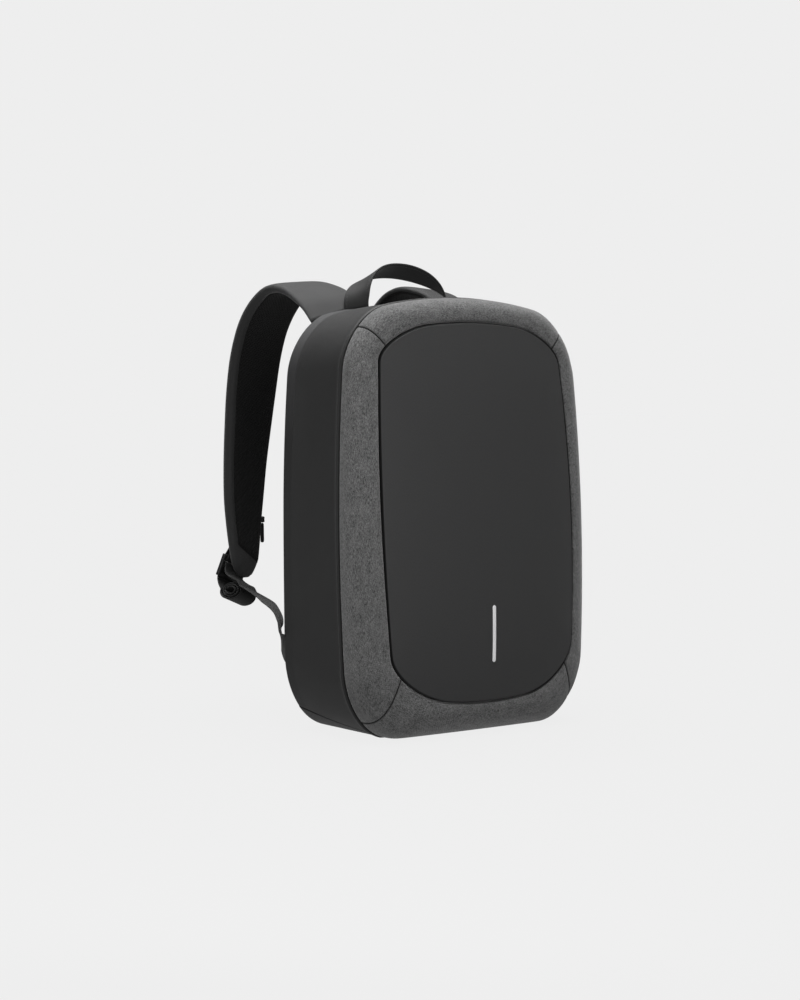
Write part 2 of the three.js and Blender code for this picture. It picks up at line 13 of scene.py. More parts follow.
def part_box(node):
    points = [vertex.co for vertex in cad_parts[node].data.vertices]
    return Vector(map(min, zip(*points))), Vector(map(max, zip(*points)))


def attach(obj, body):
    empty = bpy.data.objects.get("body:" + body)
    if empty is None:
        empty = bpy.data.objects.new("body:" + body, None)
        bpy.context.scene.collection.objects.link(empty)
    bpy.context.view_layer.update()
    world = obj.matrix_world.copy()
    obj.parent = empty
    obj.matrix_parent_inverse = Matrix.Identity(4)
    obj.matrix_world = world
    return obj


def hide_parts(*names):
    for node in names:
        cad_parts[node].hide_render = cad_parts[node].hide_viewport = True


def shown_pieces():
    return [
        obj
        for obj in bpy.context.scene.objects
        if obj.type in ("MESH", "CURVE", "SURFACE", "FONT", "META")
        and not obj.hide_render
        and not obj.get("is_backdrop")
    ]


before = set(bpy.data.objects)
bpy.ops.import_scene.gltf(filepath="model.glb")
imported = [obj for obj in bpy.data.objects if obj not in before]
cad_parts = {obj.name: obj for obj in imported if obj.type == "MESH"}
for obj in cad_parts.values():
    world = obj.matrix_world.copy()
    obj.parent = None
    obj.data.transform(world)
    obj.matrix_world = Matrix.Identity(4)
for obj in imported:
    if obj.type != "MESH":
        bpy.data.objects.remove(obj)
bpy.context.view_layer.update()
metre = 0.001
print("frame loaded:", len(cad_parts), "nodes")

# Camera and light

camera = {
    "place": (-1.31571, -1.70880, 0.34767),
    "forward": (0.598256, 0.799527, -0.053348),
    "right": (0.8007, -0.5991, 0.0),
    "lens": 74.77,
    "sensor": 36.0,
}
light = {
    "above": 0.0, "below": 0.415, "horizon": 0.15, "backdrop": 0.855, "floorAlbedo": 0.012, "floorGlow": 0.83,
}
suns = {  # direction it comes from, strength, softness in degrees
    "top": ((0.0, 0.1, 1.0), 6.3, 60.0),
    "topBack": ((-0.2, 0.9, 0.8), 0.14, 40.0),
    "frontRight": ((0.6, -1.0, 0.4), 0.4, 40.0),
}
lamp = {"place": (-0.62, -0.62, 0.42), "aim": (0, 0, 0.2), "size": 0.6, "power": 3.8}


def linked(name, data):
    made = bpy.data.objects.new(name, data)
    bpy.context.scene.collection.objects.link(made)
    return made


def aimedLight(name, kind, strength, direction):
    # A light that shines away from the given direction.
    data = bpy.data.lights.new(name, kind)
    data.energy = strength
    made = linked(name, data)
    made.rotation_mode = "QUATERNION"
    made.rotation_quaternion = Vector(direction).to_track_quat("Z", "Y")
    return made


def makeCamera():
    data = bpy.data.cameras.new("photoCamera")
    data.lens = camera["lens"]
    data.sensor_width = camera["sensor"]
    data.clip_end = 100
    viewer = linked("photoCamera", data)
    forward = Vector(camera["forward"]).normalized()
    right = Vector(camera["right"]).normalized()
    up = right.cross(forward)
    turned = Matrix((right, up, -forward)).transposed().to_4x4()
    viewer.matrix_world = Matrix.Translation(camera["place"]) @ turned
    bpy.context.scene.camera = viewer


def makeLight():
    scene = bpy.context.scene
    scene.view_settings.view_transform = "Standard"
    world = bpy.data.worlds.new("paleRoom")
    world.use_nodes = True
    tree = world.node_tree
    direction = tree.nodes.new("ShaderNodeTexCoord")
    parts = tree.nodes.new("ShaderNodeSeparateXYZ")
    level = tree.nodes.new("ShaderNodeMapRange")
    tree.links.new(direction.outputs["Generated"], parts.inputs[0])
    tree.links.new(parts.outputs[2], level.inputs["Value"])
    ends = {"From Min": -light["horizon"], "From Max": light["horizon"],
            "To Min": light["below"], "To Max": light["above"]}
    for key, value in ends.items():
        level.inputs[key].default_value = value
    room = tree.nodes["Background"]
    room.inputs["Color"].default_value = (1, 1, 1, 1)
    tree.links.new(level.outputs["Result"], room.inputs["Strength"])
    scene.world = world
    for name, (place, strength, softness) in suns.items():
        aimedLight(name, "SUN", strength, place).data.angle = math.radians(softness)
    near = aimedLight("lamp", "AREA", lamp["power"], Vector(lamp["place"]) - Vector(lamp["aim"]))
    near.data.size = lamp["size"]
    near.location = lamp["place"]
    near.visible_camera = False


makeCamera()
makeLight()
print("camera and light made")

# Meshes from grids of points


def joined(*parts):
    # Coordinates put side by side along a new last axis, each spread to the shape that all have in common.
    return np.stack(np.broadcast_arrays(*parts), axis=-1)


def swept(path, across, through, u, v):
    # A section carried along a path, u in the direction across it and v in the direction through it.
    return path[:, None, :] + across[:, None, :] * u[..., None] + through[:, None, :] * v[..., None]


def alongLengths(points, axis):
    # Running length along one axis of a grid of points.
    steps = np.linalg.norm(np.diff(points, axis=axis), axis=-1)
    start = np.zeros_like(np.take(steps, [0], axis=axis))
    return np.concatenate([start, np.cumsum(steps, axis=axis)], axis=axis)


def gridQuads(rows, columns, wrapColumns=False):
    # Corner numbers of the quads between neighbouring rows and columns.
    lastColumn = columns if wrapColumns else columns - 1
    row, column = np.meshgrid(np.arange(rows - 1), np.arange(lastColumn), indexing="ij")
    after = (column + 1) % columns
    corners = [row * columns + column, row * columns + after,
               (row + 1) * columns + after, (row + 1) * columns + column]
    return np.stack(corners, axis=-1).reshape(-1, 4)


def meshObject(name, points, quads, uv, marks=None):
    # A mesh whose faces point outwards: the sign of its volume says whether they have to be turned round.
    a, b, c, d = (points[quads[:, i]] for i in range(4))
    volume = np.einsum("ij,ij->", a, np.cross(b, c)) + np.einsum("ij,ij->", a, np.cross(c, d))
    if volume < 0:
        quads, uv = quads[:, ::-1], uv[:, ::-1]
    mesh = bpy.data.meshes.new(name)
    mesh.from_pydata((points * metre).tolist(), [], quads.tolist())
    layer = mesh.uv_layers.new(name="cloth")
    layer.data.foreach_set("uv", (uv * metre).astype(np.float32).ravel())
    for key, values in (marks or {}).items():
        mark = mesh.attributes.new(key, "FLOAT", "POINT")
        mark.data.foreach_set("value", values.astype(np.float32).ravel())
    mesh.shade_smooth()
    return linked(name, mesh)


def tubeObject(name, points, uvAcross, marks=None):
    # A closed body through rows of closed loops. Its ends are closed by strips across the loop.
    rows, columns = points.shape[:2]
    quads = gridQuads(rows, columns, wrapColumns=True)
    row, column = np.meshgrid(np.arange(rows - 1), np.arange(columns), indexing="ij")
    table = joined(uvAcross, alongLengths(points, 0).mean(axis=1)[:, None])
    corners = [table[row, column], table[row, column + 1], table[row + 1, column + 1], table[row + 1, column]]
    uv = np.stack(corners, axis=2).reshape(-1, 4, 2)
    i = np.arange(columns // 2 - 1)
    first = np.stack([i, columns - 1 - i, columns - 2 - i, i + 1], axis=1)
    last = (rows - 1) * columns + first[:, ::-1]
    flat = table[:, :-1].reshape(-1, 2)
    quads = np.concatenate([quads, first, last])
    uv = np.concatenate([uv, flat[first], flat[last]])
    return meshObject(name, points.reshape(-1, 3), quads, uv, marks)


def shellObject(name, outer, inner, marks=None):
    # A wall between an outer and an inner grid of the same size, closed all round its border.
    rows, columns = outer.shape[:2]
    count = rows * columns
    face = gridQuads(rows, columns)
    number = np.arange(count).reshape(rows, columns)
    border = np.concatenate([number[0, :-1], number[:-1, -1], number[-1, :0:-1], number[:0:-1, 0]])
    ahead = np.roll(border, -1)
    rim = np.stack([border, border + count, ahead + count, ahead], axis=1)
    quads = np.concatenate([face, face[:, ::-1] + count, rim])
    across, down = alongLengths(outer, 1), alongLengths(outer, 0).mean(axis=1)[:, None]
    flat = joined(across, down).reshape(-1, 2)
    flat = np.concatenate([flat, flat])
    points = np.concatenate([outer.reshape(-1, 3), inner.reshape(-1, 3)])
    marks = {key: np.concatenate([values.ravel()] * 2) for key, values in (marks or {}).items()}
    made = meshObject(name, points, quads, flat[quads], marks)
    made.data.set_sharp_from_angle(angle=math.radians(65))
    return made


def gridNormals(points, middle):
    # Directions square to a grid surface, pointing away from a middle point.
    normal = np.cross(np.gradient(points, axis=0), np.gradient(points, axis=1))
    normal /= np.maximum(np.linalg.norm(normal, axis=-1, keepdims=True), 1e-9)
    outward = np.einsum("ijk,ijk->", normal, points - np.array(middle, float))
    return normal if outward > 0 else -normal


def rolled(distance, width):
    # Quarter of a circle: 1 at an edge, 0 from the given width inwards.
    near = np.clip(1 - distance / width, 0, 1)
    return 1 - np.sqrt(1 - near ** 2)


def paintedEdgeMask(distance, width, fade=0.9):
    # 1 from an edge to the given width, then fading to 0: the mask for painted shade along seams and painted
    # sheen at the gusset's back edge.
    return np.clip(1 - (distance - width) / fade, 0, 1)


def edgeSpaced(length, edge, edgeSteps, step):
    # Distances from 0 to length, close together near both ends and about one step apart between.
    near = edge * np.linspace(0, 1, edgeSteps + 1) ** 1.3
    between = np.linspace(edge, length - edge, max(2, round((length - 2 * edge) / step)) + 1)
    return np.concatenate([near, between[1:-1], length - near[::-1]])


def catmull(table, stations):
    # Smooth curve through the rows of a table, at fractional row numbers.
    last = len(table) - 1
    low = np.clip(np.floor(stations).astype(int), 0, last - 1)
    t = (stations - low)[:, None]
    a, b = table[np.maximum(low - 1, 0)], table[low]
    c, d = table[low + 1], table[np.minimum(low + 2, last)]
    slope, bend, twist = c - a, 2 * a - 5 * b + 4 * c - d, 3 * b - a - 3 * c + d
    return 0.5 * (2 * b + slope * t + bend * t ** 2 + twist * t ** 3)


def unit(vectors):
    return vectors / np.linalg.norm(vectors, axis=-1, keepdims=True)


def dressed(made, material, slot, *nodes):
    made.data.materials.clear()
    made.data.materials.append(material)
    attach(made, "root")
    if nodes:
        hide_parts(*nodes)
    return made


filling = {"frames": 20, "quality": 6}


def puffUp(made, pinned, pressure, cap):
    # Cloth filled from inside while its seams are held. No point moves further than the cap, in millimetres.
    scene = bpy.context.scene
    made.vertex_groups.new(name="seams").add(np.flatnonzero(pinned).tolist(), 1.0, "REPLACE")
    cloth = made.modifiers.new("Cloth", "CLOTH")
    cloth.settings.vertex_group_mass = "seams"
    cloth.settings.use_pressure = True
    cloth.settings.uniform_pressure_force = pressure
    cloth.settings.effector_weights.gravity = 0
    cloth.settings.quality = filling["quality"]
    cloth.point_cache.frame_start = 1
    cloth.point_cache.frame_end = filling["frames"]
    for moment in range(1, filling["frames"] + 1):
        scene.frame_set(moment)
    filled = made.evaluated_get(bpy.context.evaluated_depsgraph_get()).data
    count = len(made.data.vertices)
    before, after = np.zeros(count * 3), np.zeros(count * 3)
    made.data.vertices.foreach_get("co", before)
    filled.vertices.foreach_get("co", after)
    before, after = before.reshape(-1, 3), after.reshape(-1, 3)
    made.modifiers.clear()
    made.vertex_groups.clear()
    scene.frame_set(1)
    move = after - before
    size = np.linalg.norm(move, axis=1, keepdims=True)
    move *= np.minimum(1, cap * metre / np.maximum(size, 1e-12))
    made.data.vertices.foreach_set("co", (before + move).ravel())
    made.data.update()
    print("filled", made.name, "largest move", round(float(size.max()) * 1000, 2), "mm")


# Materials


def addNode(tree, kind, inputs=None, **settings):
    node = tree.nodes.new(kind)
    for key, value in settings.items():
        setattr(node, key, value)
    for key, value in (inputs or {}).items():
        if isinstance(value, bpy.types.NodeSocket):
            tree.links.new(value, node.inputs[key])
        else:
            node.inputs[key].default_value = value
    return node


def calc(tree, operation, first, second=0.0, third=0.0):
    return addNode(tree, "ShaderNodeMath", {0: first, 1: second, 2: third}, operation=operation).outputs[0]


def ranged(tree, value, low, high, start=0.0, end=1.0):
    inputs = {"Value": value, "From Min": low, "From Max": high, "To Min": start, "To Max": end}
    return addNode(tree, "ShaderNodeMapRange", inputs).outputs["Result"]


def grey(tone):
    return (tone, tone, tone)


def blended(tree, share, first, second):
    colour = lambda tone: (*tone, 1.0) if isinstance(tone, tuple) else tone
    node = addNode(tree, "ShaderNodeMix", {0: share, 6: colour(first), 7: colour(second)}, data_type="RGBA")
    return node.outputs[2]


def surfaceSpace(tree, kind):
    # Two lengths along the surface: the piece's own map, or its front view.
    source, second = ("UV", 1) if kind == "map" else ("Object", 2)
    place = addNode(tree, "ShaderNodeTexCoord").outputs[source]
    parts = addNode(tree, "ShaderNodeSeparateXYZ", {0: place}).outputs
    return parts[0], parts[second]


def grain(tree, across, down, acrossSize, downSize, detail=2.0):
    # Noise whose grains have the given sizes across and down, in millimetres.
    place = addNode(tree, "ShaderNodeCombineXYZ", {
        0: calc(tree, "MULTIPLY", across, 1 / (acrossSize * metre)),
        1: calc(tree, "MULTIPLY", down, 1 / (downSize * metre)),
    }).outputs[0]
    inputs = {"Vector": place, "Scale": 1.0, "Detail": detail}
    return addNode(tree, "ShaderNodeTexNoise", inputs).outputs["Fac"]


def wave(tree, value, length, shape="SINE"):
    # Sine or cosine along the surface, with the given wave length in millimetres.
    return calc(tree, shape, calc(tree, "MULTIPLY", value, 2 * math.pi / (length * metre)))


def weave(tree, across, down, pitch):
    # Over and under of plain weave: product of two sines, pitch in millimetres.
    return calc(tree, "MULTIPLY", wave(tree, across, 2 * pitch), wave(tree, down, 2 * pitch))


def startMaterial(name, roughness, sheen=0.0, sheenRoughness=0.4, specular=0.3):
    material = bpy.data.materials.new(name)
    material.use_nodes = True
    shader = material.node_tree.nodes["Principled BSDF"]
    shader.inputs["Roughness"].default_value = roughness
    shader.inputs["Sheen Weight"].default_value = sheen
    shader.inputs["Sheen Roughness"].default_value = sheenRoughness
    shader.inputs["Specular IOR Level"].default_value = specular
    return material, material.node_tree, shader


# Painted light: a paler tone for painted sheen, and a near black one for painted shade along the seams.
paintedLightTones = {"paintedSheen": (0.031, 0.031, 0.032), "seamShade": (0.001, 0.001, 0.001)}


def shaded(tree, shader, colour):
    # Base colour with painted light from two values that the mesh carries: paler where painted sheen lies on
    # the gusset's back strip, dark with painted shade along the seams.
    for mark, tone in paintedLightTones.items():
        share = addNode(tree, "ShaderNodeAttribute", attribute_name=mark).outputs["Fac"]
        colour = blended(tree, share, colour, tone)
    tree.links.new(colour, shader.inputs["Base Color"])


def bumped(tree, shader, height, distance, strength=1.0):
    inputs = {"Height": height, "Distance": distance * metre, "Strength": strength}
    tree.links.new(addNode(tree, "ShaderNodeBump", inputs).outputs[0], shader.inputs["Normal"])


smoothCloth = {
    "panel": {"tone": 0.030, "roughness": 0.62, "sheen": 0.10, "specular": 0.28, "pitch": 0.7, "bump": 0.05},
    "gusset": {
        "tone": 0.0136, "roughness": 0.52, "sheen": 0.05, "specular": 0.32, "pitch": 0.7, "bump": 0.05},
    "strap": {"tone": 0.024, "roughness": 0.66, "sheen": 0.13, "specular": 0.25, "pitch": 0.6, "bump": 0.06},
}


def smoothClothMaterial(name, values, kind):
    # Tight plain weave with a matt coating: faint cloudiness, slightly rougher where it is rubbed.
    material, tree, shader = startMaterial(
        name, values["roughness"], values["sheen"], 0.4, values["specular"])
    across, down = surfaceSpace(tree, kind)
    cloud = grain(tree, across, down, 60, 90)
    thread = grain(tree, across, down, 0.9, 1.6)
    tone = values["tone"]
    cloudy = blended(tree, cloud, grey(tone * 0.92), (tone * 1.08, tone * 1.08, tone * 1.1))
    pale = (tone * 1.25, tone * 1.25, tone * 1.27)
    flecked = blended(tree, ranged(tree, thread, 0.3, 0.7), grey(tone * 0.8), pale)
    shaded(tree, shader, blended(tree, 0.4, cloudy, flecked))
    rough = ranged(tree, cloud, 0.3, 0.7, values["roughness"] - 0.05, values["roughness"] + 0.05)
    tree.links.new(rough, shader.inputs["Roughness"])
    threads = calc(tree, "ADD", weave(tree, across, down, values["pitch"]), thread)
    bumped(tree, shader, threads, values["bump"])
    return material


melange = {
    "dark": 0.014, "light": 0.172, "low": 0.36, "high": 0.64,
    "fleckAcross": 1.0, "fleckDown": 2.8, "threadAcross": 0.55, "threadDown": 1.2,
    "patchAcross": 5.0, "patchDown": 14.0, "roughness": 0.9, "sheen": 0.35, "pitch": 1.1, "bump": 0.16,
}


def melangeMaterial():
    # Heathered yarn: flecks drawn out along the cut, three sizes of noise mixed from dark to light.
    material, tree, shader = startMaterial("melangeCloth", melange["roughness"], melange["sheen"], 0.45, 0.2)
    across, down = surfaceSpace(tree, "map")
    fleck = grain(tree, across, down, melange["fleckAcross"], melange["fleckDown"], 3.0)
    thread = grain(tree, across, down, melange["threadAcross"], melange["threadDown"], 1.0)
    patch = grain(tree, across, down, melange["patchAcross"], melange["patchDown"], 2.0)
    mixed = calc(tree, "MULTIPLY_ADD", fleck, 0.5, calc(tree, "MULTIPLY", thread, 0.32))
    mixed = calc(tree, "MULTIPLY_ADD", patch, 0.18, mixed)
    share = ranged(tree, mixed, melange["low"], melange["high"])
    dark, pale = grey(melange["dark"]), grey(melange["light"])
    shaded(tree, shader, blended(tree, share, dark, pale))
    height = calc(tree, "MULTIPLY_ADD", weave(tree, across, down, melange["pitch"]), 0.5, thread)
    bumped(tree, shader, height, melange["bump"])
    return material


spacer = {
    "tone": 0.0072, "backTone": 0.018, "holeTone": 0.001, "pitch": 3.4, "rowRate": 0.72,
    "roughness": 0.8, "bump": 0.9,
}


def spacerMaterial(name, tone, kind):
    # Spacer mesh: rows of small round holes, every second row shifted by half a pitch.
    material, tree, shader = startMaterial(name, spacer["roughness"], 0.04, 0.5, 0.14)
    across, down = surfaceSpace(tree, kind)
    first = wave(tree, across, spacer["pitch"], "COSINE")
    second = wave(tree, down, spacer["pitch"] / spacer["rowRate"], "COSINE")
    hole = ranged(tree, calc(tree, "MULTIPLY", first, second), 0.1, 0.75)
    thread = grain(tree, across, down, 0.5, 0.5)
    base = blended(tree, thread, grey(tone * 0.6), grey(tone * 1.5))
    colour = blended(tree, hole, base, grey(spacer["holeTone"]))
    tree.links.new(colour, shader.inputs["Base Color"])
    height = calc(tree, "SUBTRACT", calc(tree, "MULTIPLY", thread, 0.25), hole)
    bumped(tree, shader, height, spacer["bump"])
    return material


ribbonCloth = {"roughness": 0.65, "rib": 2.0, "pick": 0.9, "stitch": 3.4, "selvedge": 2.4, "bump": 0.14}
# The far tone is painted shade on the webbing's end in the lock and the roll; on the handle it equals the
# tone.
webbingCloth = {"tone": 0.034, "paintedShadeTone": 0.006, "halfWidth": 12.5, "ribHeight": 0.5}
handleCloth = {"tone": 0.016, "paintedShadeTone": 0.016, "halfWidth": 13.0, "ribHeight": 0.08}


def webbingMaterial(name, values, stitched):
    # Narrow ribs along the length crossed by fine picks: two sines added. The far end has a tone of its own,
    # painted shade, which the selvedges lean towards, some shades lighter. Where it is stitched, dashes run
    # near both edges.
    tone, paintedShadeTone = values["tone"], values["paintedShadeTone"]
    halfWidth, ribHeight = values["halfWidth"], values["ribHeight"]
    material, tree, shader = startMaterial(name, ribbonCloth["roughness"], 0.07, 0.4, 0.22)
    across, down = surfaceSpace(tree, "map")
    rib, pick = wave(tree, across, ribbonCloth["rib"]), wave(tree, down, ribbonCloth["pick"])
    thread = grain(tree, across, down, 0.8, 2.2)
    fromMiddle = calc(tree, "ABSOLUTE", across)
    selvedge = ranged(tree, fromMiddle, (halfWidth - 1.6) * metre, (halfWidth - 0.4) * metre)
    # Painted shade: the end that the mesh marks takes the darker tone.
    paintedShade = addNode(tree, "ShaderNodeAttribute", attribute_name="paintedShadeEnd").outputs["Fac"]
    base = blended(tree, paintedShade, grey(tone), grey(paintedShadeTone))
    varied = {0: 1.0, 6: base, 7: blended(tree, thread, grey(0.7), grey(1.3))}
    lively = addNode(tree, "ShaderNodeMix", varied, data_type="RGBA", blend_type="MULTIPLY").outputs[2]
    edging = grey(paintedShadeTone * ribbonCloth["selvedge"])
    colour = blended(tree, calc(tree, "MULTIPLY", selvedge, 0.25), lively, edging)
    height = calc(tree, "MULTIPLY_ADD", rib, ribHeight, calc(tree, "MULTIPLY", pick, ribHeight * 0.7))
    if stitched:
        away = calc(tree, "ABSOLUTE", calc(tree, "SUBTRACT", fromMiddle, (halfWidth - 3) * metre))
        line = ranged(tree, away, 0.7 * metre, 0.3 * metre)
        dashes = ranged(tree, wave(tree, down, ribbonCloth["stitch"]), -0.5, -0.1)
        stitch = calc(tree, "MULTIPLY", line, dashes)
        colour = blended(tree, calc(tree, "MULTIPLY", stitch, 0.6), colour, grey(tone * 1.8))
        height = calc(tree, "MULTIPLY_ADD", stitch, 2.0, height)
    tree.links.new(colour, shader.inputs["Base Color"])
    bumped(tree, shader, height, ribbonCloth["bump"])
    return material


plastic = {"tone": 0.006, "roughness": 0.42, "fine": 2600.0, "broad": 160.0}


def plasticMaterial():
    # Moulded plastic with a fine spark-eroded grain.
    material, tree, shader = startMaterial("lockPlastic", plastic["roughness"], 0.0, 0.4, 0.45)
    place = addNode(tree, "ShaderNodeTexCoord").outputs["Object"]
    inputs = lambda size: {"Vector": place, "Scale": plastic[size], "Detail": 3.0}
    fine = addNode(tree, "ShaderNodeTexNoise", inputs("fine")).outputs["Fac"]
    broad = addNode(tree, "ShaderNodeTexNoise", inputs("broad")).outputs["Fac"]
    tone = plastic["tone"]
    tree.links.new(blended(tree, broad, grey(tone * 0.8), grey(tone * 1.4)), shader.inputs["Base Color"])
    rough = ranged(tree, broad, 0.3, 0.7, plastic["roughness"] - 0.07, plastic["roughness"] + 0.1)
    tree.links.new(rough, shader.inputs["Roughness"])
    bumped(tree, shader, fine, 0.05)
    return material


film = {"tone": (0.86, 0.86, 0.87), "shade": (0.66, 0.66, 0.67), "beads": 2200.0}


def reflectiveMaterial():
    # Glass bead film: pale grey with a fine sparkle.
    material, tree, shader = startMaterial("reflectiveFilm", 0.4, 0.0, 0.4, 0.5)
    place = addNode(tree, "ShaderNodeTexCoord").outputs["Object"]
    inputs = {"Vector": place, "Scale": film["beads"]}
    beads = addNode(tree, "ShaderNodeTexVoronoi", inputs).outputs["Distance"]
    tree.links.new(blended(tree, beads, film["tone"], film["shade"]), shader.inputs["Base Color"])
    bumped(tree, shader, beads, 0.05)
    return material


panelMaterial = smoothClothMaterial("panelCloth", smoothCloth["panel"], "front")
gussetMaterial = smoothClothMaterial("gussetCloth", smoothCloth["gusset"], "map")
strapMaterial = smoothClothMaterial("strapCloth", smoothCloth["strap"], "map")
ringMaterial = melangeMaterial()
meshMaterial = spacerMaterial("spacerMesh", spacer["tone"], "map")
backMaterial = spacerMaterial("backMesh", spacer["backTone"], "front")
bandMaterial = webbingMaterial("webbingCloth", webbingCloth, False)
handleMaterial = webbingMaterial("handleCloth", handleCloth, True)
lockMaterial = plasticMaterial()
barMaterial = reflectiveMaterial()
print("materials made")

# Outlines of the body, seen from the front

body = {
    "width": 300.0, "height": 440.0, "depth": 101.0, "seamLean": 0.011, "backNarrowing": 1.0, "backDrop": 5.0,
}
front = {
    "rise": 43.5, "lean": 0.07, "crownAcross": 8.4, "crownUp": 8.0, "swell": 6.0,
    "side": 28.0, "head": 25.0, "foot": 34.0,
}
seamGap = 0.3
midHeight = body["height"] / 2
backPlane = body["depth"] / 2


def outline(width, bottom, top, topCorner, bottomCorner, bows):
    # A rounded rectangle with bowed sides. Corners and bows are shares of half the width and half the height.
    half, tall = width / 2, (top - bottom) / 2
    side, foot, over, under = bows
    return {
        "half": half, "tall": tall, "middle": (top + bottom) / 2,
        "topCorner": (topCorner[0] * half, topCorner[1] * tall),
        "bottomCorner": (bottomCorner[0] * half, bottomCorner[1] * tall),
        "side": side * half, "foot": foot * half, "over": over * tall, "under": under * tall,
    }


seamForm = outline(body["width"], 0, body["height"], (0.34, 0.267), (0.36, 0.32), (0.064, 0.064, 0.098, 0))
backForm = outline(
    body["width"] - 2 * body["backNarrowing"], 0, body["height"] - body["backDrop"],
    (0.34, 0.267), (0.38, 0.36), (0.064, 0.02, 0.098, 0))
panelForm = outline(
    body["width"] - 2 * front["side"], front["foot"], body["height"] - front["head"],
    (0.549, 0.151), (0.61, 0.22), (0.074, 0.074, 0.072, 0.069))


def outlinePoint(form, turn, depth=0.0):
    # Turn 0 to 8: elliptical corners and straight sides take one unit each, from the right end of the top
    # right corner over the top, down the left, along the base and up the right. Bows pull the ends of each
    # side in.
    turn, depth = np.broadcast_arrays(np.asarray(turn, float) % 8, np.asarray(depth, float))
    part = np.floor(turn).astype(int)
    share = turn - part
    half, tall = form["half"] - depth, form["tall"] - depth
    upper = part < 3
    across = np.where(upper, form["topCorner"][0], form["bottomCorner"][0]) - depth
    up = np.where(upper, form["topCorner"][1], form["bottomCorner"][1]) - depth
    angle = (part / 2 + share) * np.pi / 2
    cornerX = (half - across) * np.where((part == 0) | (part == 6), 1, -1) + across * np.cos(angle)
    cornerZ = (tall - up) * np.where(part < 4, 1, -1) + up * np.sin(angle)
    high, low = tall - form["topCorner"][1] + depth, form["bottomCorner"][1] - depth - tall
    parts = [part % 2 == 0, part == 1, part == 5, part == 3]
    leftward, rightward = (half - across) * (1 - 2 * share), (half - across) * (2 * share - 1)
    x = np.select(parts, [cornerX, leftward, rightward, -half], half)
    z = np.select(parts, [cornerZ, tall, -tall, high + (low - high) * share], low + (high - low) * share)
    sideBow = np.where(z > 0, form["side"], form["foot"])
    endBow = np.where(z > 0, form["over"], form["under"])
    return (x * (1 - sideBow / half * (z / tall) ** 2),
            z * (1 - endBow / tall * (x / half) ** 2) + form["middle"])


def evenShares(form, start, end, distances=None, count=None):
    # Shares of the way from one turn to another, at the given distances along the outline or evenly spaced.
    share = np.linspace(0, 1, 2001)
    x, z = outlinePoint(form, start + (end - start) * share)
    run = np.concatenate([[0], np.cumsum(np.hypot(np.diff(x), np.diff(z)))])
    if distances is None:
        return np.interp(np.linspace(0, run[-1], count + 1), run, share)
    return np.interp(distances, run, share)


def outlineLength(form, start, end):
    x, z = outlinePoint(form, np.linspace(start, end, 2001))
    return np.hypot(np.diff(x), np.diff(z)).sum()


def seamY(z):
    # The front seam lies in a plane that leans back a little.
    return -backPlane + body["seamLean"] * (z - midHeight)


def frontY(x, z):
    # The front leans back and is crowned both ways by squares.
    across = x / panelForm["half"]
    up = (z - midHeight) / midHeight
    crown = front["crownAcross"] * across ** 2 + front["crownUp"] * up ** 2
    return -backPlane - front["rise"] + front["lean"] * (z - midHeight) + crown


# Front panel

panel = {
    "wall": 8.0, "edgeWidth": 1.9, "grooveWidth": 3.4, "grooveDepth": 4.4, "reach": 150.0,
    "columns": 220, "rows": 34,
}


def frontPanel():
    # Outline shrunk towards its middle, domed as one minus the fourth power, its edge rolled into the groove.
    turn = evenShares(panelForm, 0, 8, count=panel["columns"])[:-1] * 8
    near = np.array([0, 0.15, 0.35, 0.6, 0.9, 1.3, 1.8, 2.4, 3.4, 5.5, 9])
    distance = np.concatenate([near, np.linspace(13, panel["reach"] * 0.97, panel["rows"])])
    share = (1 - distance / panel["reach"])[::-1, None]
    edgeX, edgeZ = outlinePoint(panelForm, turn, seamGap)
    middle = panelForm["middle"]
    x, z = edgeX * share, middle + (edgeZ - middle) * share
    outer = joined(x, frontY(x, z) - front["swell"] * (1 - share ** 4), z)
    inner = outer[::-1] + (0, panel["wall"], 0)
    gone = alongLengths(outer, 0)
    fromEdge = gone[-1:] - gone
    normal = gridNormals(outer, (0, 0, middle))
    outer = outer - normal * (panel["grooveDepth"] * rolled(fromEdge, panel["edgeWidth"]))[..., None]
    points = np.concatenate([outer, inner])
    # Painted shade: dark in the groove where the edge rolls in, and over the whole inner face.
    seamShade = np.concatenate([paintedEdgeMask(fromEdge, 0.6), np.ones(fromEdge.shape)])
    made = tubeObject("frontPanelCloth", points, np.linspace(0, 1, panel["columns"] + 1), {"seamShade": seamShade})
    made.data.set_sharp_from_angle(angle=math.radians(65))
    return made


# Padded ring round the front panel

ring = {
    "fullness": 2.57, "wall": 7.0, "step": 4.0, "edge": 5.0, "edgeSteps": 8,
    "seamWidth": 1.3, "seamDepth": 4.2, "endWidth": 1.7, "endDepth": 2.2, "puffWidth": 14.0, "puffDepth": 0.6,
    "held": 5.5, "pressure": 1.0, "cap": 0.8,
}
cornerSeams = {"top": (2.47, 2.68), "bottom": (4.54, 4.33)}


def ringPoints(seamTurn, panelTurn, share, depth):
    # Quarter of a superellipse from the gusset seam, share 0, to the front panel, share 1.
    outerX, outerZ = outlinePoint(seamForm, seamTurn, depth)
    innerX, innerZ = outlinePoint(panelForm, panelTurn)
    angle = share * np.pi / 2
    run, rise = np.cos(angle) ** (2 / ring["fullness"]), np.sin(angle) ** (2 / ring["fullness"])
    startY, endY = seamY(outerZ), frontY(innerX, innerZ) + depth
    lay = lambda first, second, by: first[:, None] + (second - first)[:, None] * by[None, :]
    return joined(lay(innerX, outerX, run), lay(startY, endY, rise), lay(innerZ, outerZ, run))


